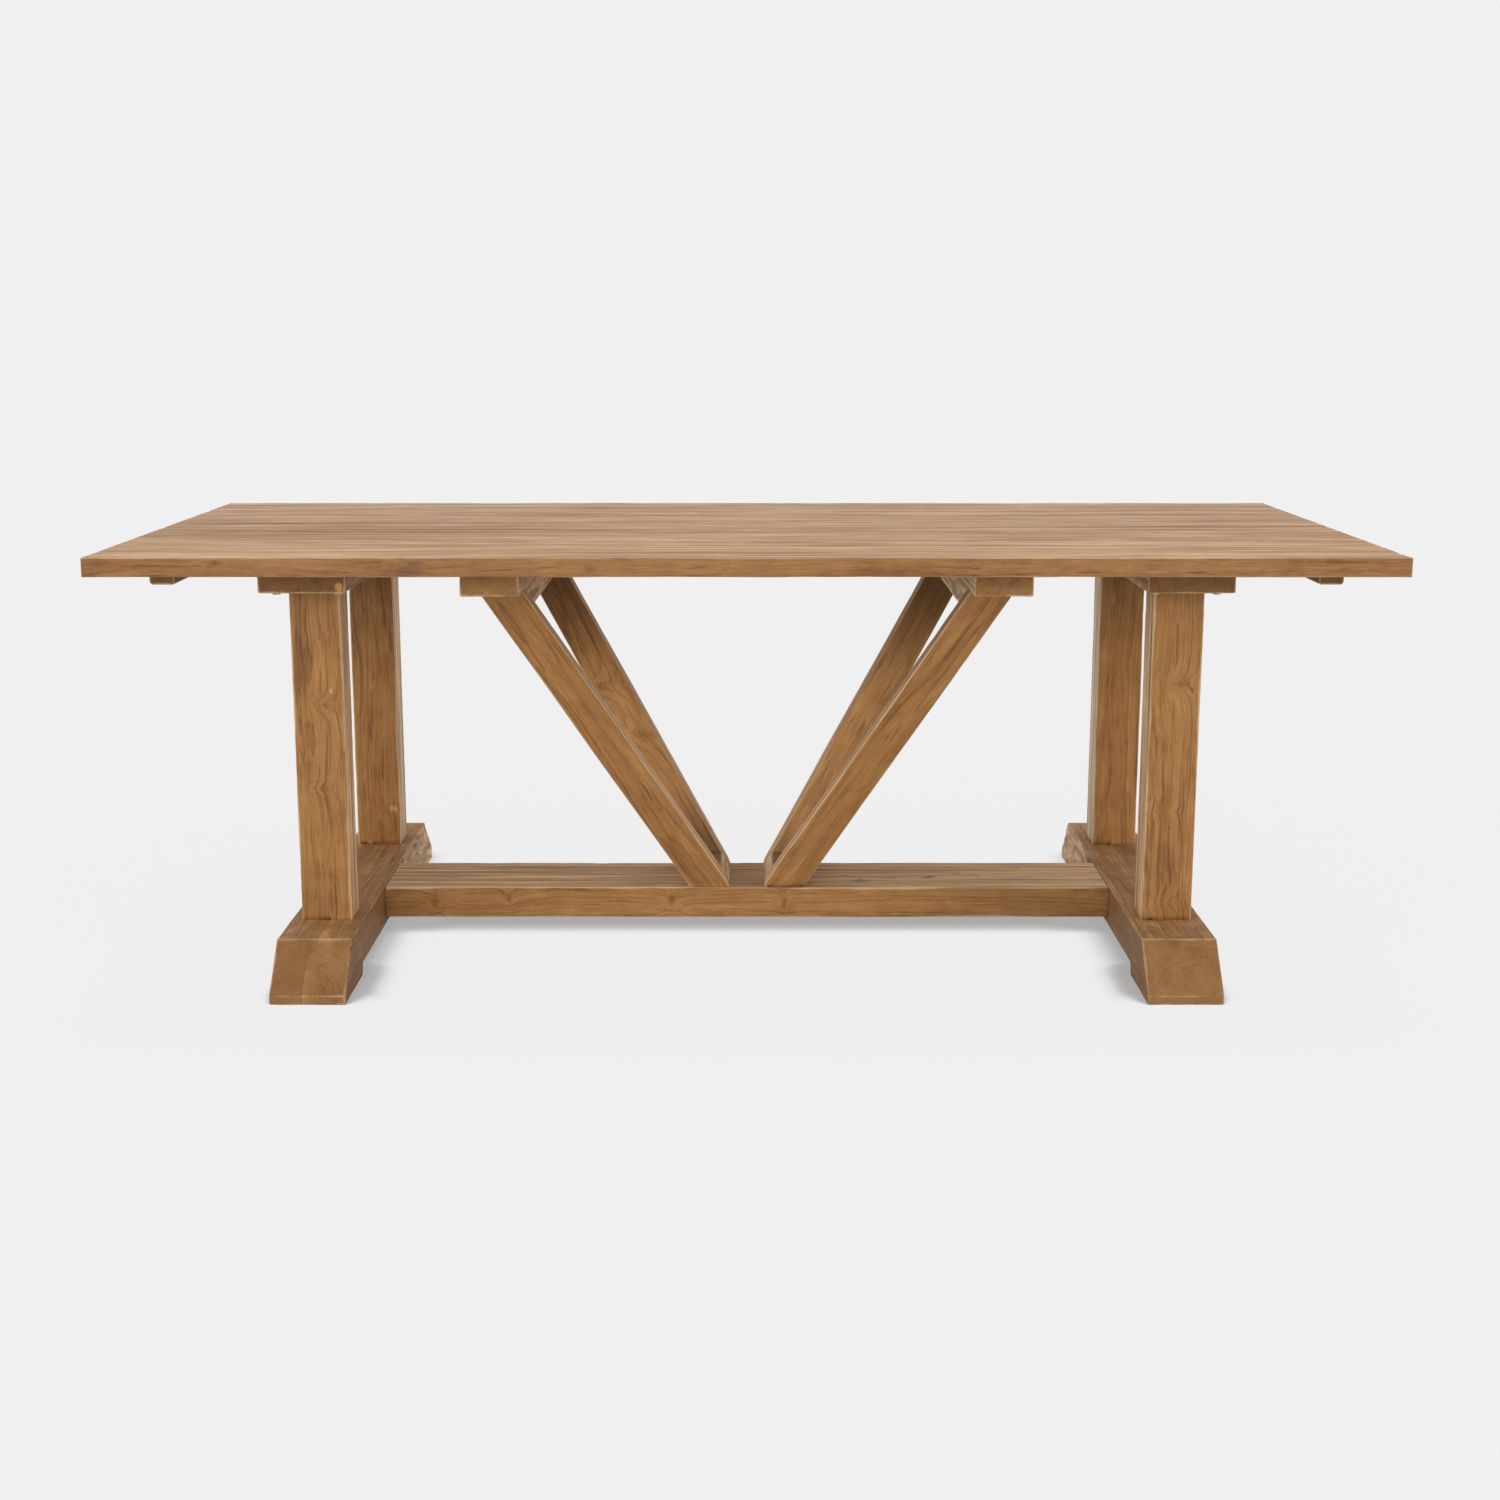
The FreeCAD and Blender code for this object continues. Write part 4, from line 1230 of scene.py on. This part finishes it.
def finish_fasteners(tree, given, result, shape):
    """Sets a shape on every point, aimed by the point's own direction and turned at random."""
    aim = put(tree, "GeometryNodeInputNamedAttribute", {"Name": "aim"}, data_type="FLOAT_VECTOR").outputs[0]
    turn = put(tree, "FunctionNodeRandomValue", {"Min": 0.0, "Max": math.tau, "Seed": given["Seed"]},
               data_type="FLOAT")
    spin = put(tree, "ShaderNodeCombineXYZ", {"Z": turn.outputs["Value"]}).outputs[0]
    spun = put(tree, "FunctionNodeEulerToRotation", (spin,)).outputs[0]
    aimed = put(tree, "FunctionNodeAlignRotationToVector", {"Vector": aim}, axis="Z").outputs[0]
    turned = put(tree, "FunctionNodeRotateRotation", (aimed, spun), rotation_space="LOCAL").outputs[0]
    copies = put(tree, "GeometryNodeInstanceOnPoints",
                 {"Points": given["Geometry"], "Instance": shape, "Rotation": turned})
    dress(tree, given, result, copies.outputs[0])


def moved(tree, shape, z):
    """A shape raised along its own axis by a value or a link."""
    offset = put(tree, "ShaderNodeCombineXYZ", {"Z": z}).outputs[0]
    return put(tree, "GeometryNodeTransform", {"Geometry": shape, "Translation": offset}).outputs[0]


def cylinder(tree, sides, radius, depth):
    """A closed round bar from the origin up its own axis."""
    bar = put(tree, "GeometryNodeMeshCylinder", {"Vertices": sides, "Radius": radius, "Depth": depth})
    return moved(tree, bar.outputs["Mesh"], calc(tree, "MULTIPLY", depth, 0.5))


def joined(tree, *shapes):
    """Several shapes as one."""
    node = tree.nodes.new("GeometryNodeJoinGeometry")
    for shape in shapes:
        tree.links.new(shape, node.inputs[0])
    return node.outputs[0]


@once
def bolt_tree():
    """Hex bolts with chamfered heads, flanges and cut threads; each head hangs below its point."""
    tree, given, result = new_group(
        "Hex bolts", "GeometryNodeTree",
        {"Geometry": "geometry", "Head Width": "value", "Head Height": "value", "Flange Diameter": "value",
         "Flange Thickness": "value", "Shank Diameter": "value", "Shank Length": "value", "Pitch": "value",
         "Seed": "value", "Material": "material"},
        {"Geometry": "geometry"})
    height = given["Head Height"]
    flange = given["Flange Thickness"]
    corner = calc(tree, "DIVIDE", given["Head Width"], math.sqrt(3))
    prism = cylinder(tree, 6, corner, height)
    cone = put(tree, "GeometryNodeMeshCone", {
        "Vertices": 48, "Radius Top": calc(tree, "MULTIPLY", corner, 3.0),
        "Radius Bottom": calc(tree, "MULTIPLY", given["Head Width"], 0.47),
        "Depth": calc(tree, "MULTIPLY", corner, 1.4)})
    head = put(tree, "GeometryNodeMeshBoolean", operation="INTERSECT", solver="EXACT")
    tree.links.new(prism, head.inputs["Mesh 2"])
    tree.links.new(cone.outputs["Mesh"], head.inputs["Mesh 2"])
    below = calc(tree, "MULTIPLY", calc(tree, "ADD", height, flange), -1.0)
    head = moved(tree, head.outputs[0], below)
    radius = calc(tree, "MULTIPLY", given["Flange Diameter"], 0.5)
    disc = moved(tree, cylinder(tree, 40, radius, flange), calc(tree, "MULTIPLY", flange, -1.0))
    shank_radius = calc(tree, "MULTIPLY", given["Shank Diameter"], 0.5)
    core_radius = calc(tree, "MULTIPLY", shank_radius, 0.9)
    shank = cylinder(tree, 24, core_radius, given["Shank Length"])
    turns = calc(tree, "DIVIDE", given["Shank Length"], given["Pitch"])
    helix = put(tree, "GeometryNodeCurveSpiral", {
        "Resolution": 14, "Rotations": turns, "Start Radius": core_radius, "End Radius": core_radius,
        "Height": given["Shank Length"]})
    ridge = put(tree, "GeometryNodeCurvePrimitiveCircle", {
        "Resolution": 3, "Radius": calc(tree, "MULTIPLY", given["Pitch"], 0.5)}, mode="RADIUS")
    thread = put(tree, "GeometryNodeCurveToMesh", {
        "Curve": helix.outputs[0], "Profile Curve": ridge.outputs["Curve"], "Fill Caps": True})
    finish_fasteners(tree, given, result, joined(tree, head, disc, shank, thread.outputs[0]))
    return tree


@once
def washer_tree():
    """Flat washers with softened rims, each hanging below its point."""
    tree, given, result = new_group(
        "Washers", "GeometryNodeTree",
        {"Geometry": "geometry", "Outer Diameter": "value", "Hole Diameter": "value", "Thickness": "value",
         "Seed": "value", "Material": "material"},
        {"Geometry": "geometry"})
    both = calc(tree, "ADD", given["Outer Diameter"], given["Hole Diameter"])
    width = calc(tree, "SUBTRACT", given["Outer Diameter"], given["Hole Diameter"])
    width = calc(tree, "MULTIPLY", width, 0.5)
    path = put(tree, "GeometryNodeCurvePrimitiveCircle", {
        "Resolution": 48, "Radius": calc(tree, "MULTIPLY", both, 0.25)}, mode="RADIUS")
    section = put(tree, "GeometryNodeCurvePrimitiveQuadrilateral", {
        "Width": given["Thickness"], "Height": width}, mode="RECTANGLE")
    section = put(tree, "GeometryNodeFilletCurve", {
        "Curve": section.outputs[0], "Radius": calc(tree, "MULTIPLY", given["Thickness"], 0.2), "Count": 2},
        mode="POLY")
    ring = put(tree, "GeometryNodeCurveToMesh", {
        "Curve": path.outputs["Curve"], "Profile Curve": section.outputs[0]})
    hung = moved(tree, ring.outputs[0], calc(tree, "MULTIPLY", given["Thickness"], -0.5))
    finish_fasteners(tree, given, result, hung)
    return tree


@once
def screw_tree():
    """Countersunk screw heads with a cross recess, almost flush under their points."""
    tree, given, result = new_group(
        "Countersunk screws", "GeometryNodeTree",
        {"Geometry": "geometry", "Head Diameter": "value", "Recess Span": "value", "Seed": "value",
         "Material": "material"},
        {"Geometry": "geometry"})
    radius = calc(tree, "MULTIPLY", given["Head Diameter"], 0.5)
    depth = calc(tree, "MULTIPLY", given["Head Diameter"], 0.3)
    head = put(tree, "GeometryNodeMeshCone", {
        "Vertices": 40, "Radius Top": calc(tree, "MULTIPLY", radius, 0.5), "Radius Bottom": radius,
        "Depth": depth})
    slot = calc(tree, "MULTIPLY", given["Recess Span"], 0.24)
    recess = put(tree, "GeometryNodeMeshBoolean", operation="DIFFERENCE", solver="EXACT")
    tree.links.new(head.outputs["Mesh"], recess.inputs["Mesh 1"])
    for size in ((given["Recess Span"], slot, depth), (slot, given["Recess Span"], depth)):
        bar = put(tree, "GeometryNodeMeshCube",
                  {"Size": put(tree, "ShaderNodeCombineXYZ", size).outputs[0]})
        sunk = moved(tree, bar.outputs["Mesh"], calc(tree, "MULTIPLY", depth, -0.35))
        tree.links.new(sunk, recess.inputs["Mesh 2"])
    proud = moved(tree, recess.outputs[0], calc(tree, "MULTIPLY", depth, -0.22))
    finish_fasteners(tree, given, result, proud)
    return tree


def separate_boxes(node, reach=0.04):
    """Boxes of the separate fasteners in a CAD node, told apart by their distance in plan."""
    points = np.array([vertex.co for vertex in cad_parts[node].data.vertices])
    boxes = []
    while len(points):
        near = np.linalg.norm(points[:, :2] - points[0, :2], axis=1) < reach
        boxes.append((points[near].min(0), points[near].max(0)))
        points = points[~near]
    return boxes


def fasteners(name, tree, places, aims, slot, nodes, **values):
    """Sets one kind of fastener on its places."""
    mesh = bpy.data.meshes.new(name)
    mesh.from_pydata([tuple(place) for place in places], [], [])
    store = mesh.attributes.new("aim", "FLOAT_VECTOR", "POINT")
    store.data.foreach_set("vector", np.array(aims, np.float32).ravel())
    piece = link_object(name, mesh)
    modifier = piece.modifiers.new("Fasteners", "NODES")
    modifier.node_group = tree
    named = {key.replace("_", " ").title(): value for key, value in values.items()}
    named["Seed"] = float(table().fastener.turn_seed)
    named["Material"] = zinc_material()
    set_inputs(modifier, named)
    settle(piece)
    seat(piece, slot, *nodes)


UP = (0.0, 0.0, 1.0)


def build_bolts():
    """Bolts and washers under the trestle bearers."""
    sizes = table().fastener
    washers = separate_boxes("bearer_washers")
    seats = [((low[0] + high[0]) / 2, (low[1] + high[1]) / 2, high[2]) for low, high in washers]
    thick = washers[0][1][2] - washers[0][0][2]
    wide = washers[0][1][0] - washers[0][0][0]
    ups = [UP] * len(seats)
    fasteners("bearer_washer_rings", washer_tree(), seats, ups, "zinc_steel", ["bearer_washers"],
              outer_diameter=wide, hole_diameter=sizes.washer_hole, thickness=thick)
    bolt_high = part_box("bearer_bolts")[1].z
    fasteners("bearer_hex_bolts", bolt_tree(), [(x, y, z - thick) for x, y, z in seats], ups, "zinc_steel",
              ["bearer_bolts"], head_width=sizes.bolt_head, head_height=sizes.bolt_head_height,
              flange_diameter=sizes.bolt_head * COLLAR_WIDTH,
              flange_thickness=sizes.flange_thickness * COLLAR_THICKNESS,
              shank_diameter=sizes.bolt_diameter, shank_length=bolt_high - seats[0][2] + thick,
              pitch=sizes.bolt_pitch)


def build_rail_bolts():
    """Flange bolts under the head rails."""
    sizes = table().fastener
    bolts = separate_boxes("head_rail_bolts")
    seat_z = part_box("brace_head_rail_right")[0].z
    seats = [((low[0] + high[0]) / 2, (low[1] + high[1]) / 2, seat_z) for low, high in bolts]
    wide = bolts[0][1][0] - bolts[0][0][0]
    fasteners("head_rail_flange_bolts", bolt_tree(), seats, [UP] * len(seats), "zinc_steel",
              ["head_rail_bolts"], head_width=sizes.bolt_head, head_height=sizes.bolt_head_height,
              flange_diameter=wide, flange_thickness=sizes.flange_thickness,
              shank_diameter=sizes.bolt_diameter, shank_length=bolts[0][1][2] - seat_z,
              pitch=sizes.bolt_pitch)


def build_screws():
    """Screws in the end battens and the brace bearers."""
    sizes = table().fastener
    places = []
    for side in ("left", "right"):
        low, high = corners(f"end_batten_{side}")
        for share in BATTEN_SCREWS:
            places.append(((low[0] + high[0]) / 2, low[1] + (high[1] - low[1]) * share, low[2]))
        low, high = corners(f"brace_bearer_{side}")
        for share in BEARER_SCREWS:
            for across in BEARER_SCREW_ROWS:
                places.append((low[0] + (high[0] - low[0]) * across,
                               low[1] + (high[1] - low[1]) * share, low[2]))
    fasteners("countersunk_screws", screw_tree(), places, [UP] * len(places), "zinc_steel", [],
              head_diameter=sizes.screw_head, recess_span=sizes.screw_recess)


def dress_hidden_joinery():
    """Gives the pieces that stay as they are in the frame their own finish."""
    for node, material in (("top_tongues", joinery_material()), ("brace_loose_tenons", joinery_material()),
                           ("stretcher_barrel_nuts", zinc_material()), ("stretcher_bolts", zinc_material())):
        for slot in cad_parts[node].material_slots:
            slot.material = material


# Stage

def seen_directly(tree):
    """1 for what the camera, a mirror or glass sees, 0 for light that scatters."""
    path = put(tree, "ShaderNodeLightPath").outputs
    seen = calc(tree, "MAXIMUM", path["Is Camera Ray"], path["Is Glossy Ray"])
    return calc(tree, "MAXIMUM", seen, path["Is Transmission Ray"])


def build_floor():
    """Pale floor with a soft painted contact shadow over a faint real one."""
    stage = table().stage
    mesh = bpy.data.meshes.new("floor")
    sheet = [(x * FLOOR_REACH, y * FLOOR_REACH, 0) for x, y in ((-1, -1), (1, -1), (1, 1), (-1, 1))]
    mesh.from_pydata(sheet, [], [(0, 1, 2, 3)])
    floor = link_object("floor", mesh)
    material, tree = new_material("studio_floor")
    paper = put(tree, "ShaderNodeBsdfDiffuse", {"Color": (0.8, 0.8, 0.8, 1.0)})
    forward = put(tree, "ShaderNodeCombineXYZ", SHADOW_AIM).outputs[0]
    place = put(tree, "ShaderNodeSeparateXYZ", (put(tree, "ShaderNodeTexCoord").outputs["Object"],)).outputs
    across = calc(tree, "ABSOLUTE", place["X"])
    reach = smooth(tree, across, FEET_FROM, FEET_TO, stage.contact, 0.7 * stage.contact)
    # Painted shadow: occlusion near the table darkens the floor's glow, more beside the feet and less outside
    # them and behind; only a twentieth of the floor's shading is real
    near = put(tree, "ShaderNodeAmbientOcclusion", {"Distance": reach, "Normal": forward}, samples=16)
    strength = calc(tree, "MULTIPLY", smooth(tree, across, FEET_FROM, FEET_TO, 1.0, 1.5),
                    smooth(tree, across, OUTSIDE_FROM, OUTSIDE_TO, 1.0, 0.2))
    strength = calc(tree, "MULTIPLY", strength, smooth(tree, place["Y"], REAR_FROM, REAR_TO, 1.0, 0.3))
    shade = calc(tree, "MULTIPLY", calc(tree, "SUBTRACT", 1.0, near.outputs["AO"]), strength)
    tone = mixed(tree, smooth(tree, shade, 0.03, 0.21), (*stage.backdrop, 1.0), SHADOW_TONE)
    glow = put(tree, "ShaderNodeEmission", {"Color": tone})
    shadowed = put(tree, "ShaderNodeMixShader", (0.05, glow.outputs[0], paper.outputs[0]))
    mix = put(tree, "ShaderNodeMixShader", (seen_directly(tree), paper.outputs[0], shadowed.outputs[0]))
    put(tree, "ShaderNodeOutputMaterial", {"Surface": mix.outputs[0]})
    mesh.materials.append(material)


def build_light():
    """Even light from all round and four soft lamps."""
    stage = table().stage
    world = bpy.data.worlds.new("studio")
    bpy.context.scene.world = world
    world.use_nodes = True
    tree = world.node_tree
    tree.nodes.clear()
    light = put(tree, "ShaderNodeBackground", {"Color": (1.0, 1.0, 1.0, 1.0), "Strength": stage.sky})
    seen = put(tree, "ShaderNodeBackground", {"Color": (*stage.backdrop, 1.0), "Strength": 1.0})
    mix = put(tree, "ShaderNodeMixShader", (seen_directly(tree), light.outputs[0], seen.outputs[0]))
    put(tree, "ShaderNodeOutputWorld", {"Surface": mix.outputs[0]})
    # Name, strength, bearing, elevation and spread of each lamp, the angles in degrees
    lamps = (("front", stage.front, -12, 14, 40), ("left", stage.sides, -64, 16, 40),
             ("right", stage.sides, 64, 16, 40), ("overhead", stage.overhead, 0, 102, 20))
    for name, strength, bearing, elevation, spread in lamps:
        lamp = bpy.data.lights.new(name, "SUN")
        lamp.energy = strength
        lamp.angle = math.radians(spread)
        sun = bpy.data.objects.new(name, lamp)
        sun.rotation_euler = (math.radians(90 - elevation), 0.0, math.radians(bearing))
        bpy.context.scene.collection.objects.link(sun)


def build_camera():
    """Camera in front of the table."""
    stage = table().stage
    scene = bpy.context.scene
    camera = bpy.data.cameras.new("camera")
    camera.sensor_fit = "HORIZONTAL"
    camera.sensor_width = SENSOR_WIDTH
    camera.lens = stage.focal_share * camera.sensor_width
    camera.shift_x = stage.shift_x
    camera.shift_y = stage.shift_y
    viewer = bpy.data.objects.new("camera", camera)
    viewer.location = (0.0, -stage.camera_distance, stage.camera_height)
    viewer.rotation_euler = (math.pi / 2 - stage.camera_tilt, 0.0, 0.0)
    scene.collection.objects.link(viewer)
    scene.camera = viewer
    scene.view_settings.view_transform = "Standard"


# Operators

class PieceOperator(bpy.types.Operator):
    """Builds one group of the table's pieces."""

    bl_options = {"REGISTER", "UNDO"}
    builders = ()

    def execute(self, context):
        for build in self.builders:
            build()
        return {"FINISHED"}


class TABLE_OT_top(PieceOperator):
    """Build the brushed boards of the top"""

    bl_idname = "trestle_table.top"
    bl_label = "Top boards"
    builders = (build_top,)


class TABLE_OT_battens(PieceOperator):
    """Build the end battens under the top"""

    bl_idname = "trestle_table.battens"
    bl_label = "End battens"
    builders = (build_battens,)


class TABLE_OT_bearers(PieceOperator):
    """Build the bearers over the trestles and the braces"""

    bl_idname = "trestle_table.bearers"
    bl_label = "Bearers"
    builders = (build_trestle_bearers, build_brace_bearers)


class TABLE_OT_posts(PieceOperator):
    """Build the four posts"""

    bl_idname = "trestle_table.posts"
    bl_label = "Posts"
    builders = (build_posts,)


class TABLE_OT_feet(PieceOperator):
    """Build the two feet with their sloped toes"""

    bl_idname = "trestle_table.feet"
    bl_label = "Feet"
    builders = (build_feet,)


class TABLE_OT_stretcher(PieceOperator):
    """Build the stretcher between the feet"""

    bl_idname = "trestle_table.stretcher"
    bl_label = "Stretcher"
    builders = (build_stretcher,)


class TABLE_OT_braces(PieceOperator):
    """Build the splayed braces with their head rails and filler blocks"""

    bl_idname = "trestle_table.braces"
    bl_label = "Braces"
    builders = (build_braces, build_head_rails, build_blocks)


class TABLE_OT_fasteners(PieceOperator):
    """Set the bolts, washers and screws, and finish the hidden joinery"""

    bl_idname = "trestle_table.fasteners"
    bl_label = "Fasteners"
    builders = (build_bolts, build_rail_bolts, build_screws, dress_hidden_joinery)


class TABLE_OT_stage(PieceOperator):
    """Set the floor, the light and the camera"""

    bl_idname = "trestle_table.stage"
    bl_label = "Stage"
    builders = (build_floor, build_light, build_camera)


OPERATORS = (TABLE_OT_top, TABLE_OT_battens, TABLE_OT_bearers, TABLE_OT_posts, TABLE_OT_feet,
             TABLE_OT_stretcher, TABLE_OT_braces, TABLE_OT_fasteners, TABLE_OT_stage)


class TABLE_PT_sidebar(bpy.types.Panel):
    """Lists the table's pieces and settings."""

    bl_idname = "TABLE_PT_sidebar"
    bl_label = "Trestle table"
    bl_space_type = "VIEW_3D"
    bl_region_type = "UI"
    bl_category = "Table"

    def draw(self, context):
        for operator in OPERATORS:
            self.layout.operator(operator.bl_idname)
        for settings in (table().timber, table().foot, table().finish, table().fastener, table().stage):
            box = self.layout.box()
            for key in settings.__annotations__:
                box.prop(settings, key)


CLASSES = (TimberSettings, FootSettings, FinishSettings, FastenerSettings, StageSettings, TableSettings,
           *OPERATORS, TABLE_PT_sidebar)


def register():
    for item in CLASSES:
        bpy.utils.register_class(item)
    bpy.types.Scene.trestle_table = PointerProperty(type=TableSettings)


def unregister():
    del bpy.types.Scene.trestle_table
    for item in reversed(CLASSES):
        bpy.utils.unregister_class(item)


def main():
    register()
    bpy.ops.trestle_table.top()
    bpy.ops.trestle_table.battens()
    bpy.ops.trestle_table.bearers()
    bpy.ops.trestle_table.posts()
    bpy.ops.trestle_table.feet()
    bpy.ops.trestle_table.stretcher()
    bpy.ops.trestle_table.braces()
    bpy.ops.trestle_table.fasteners()
    bpy.ops.trestle_table.stage()


if __name__ == "__main__":
    main()
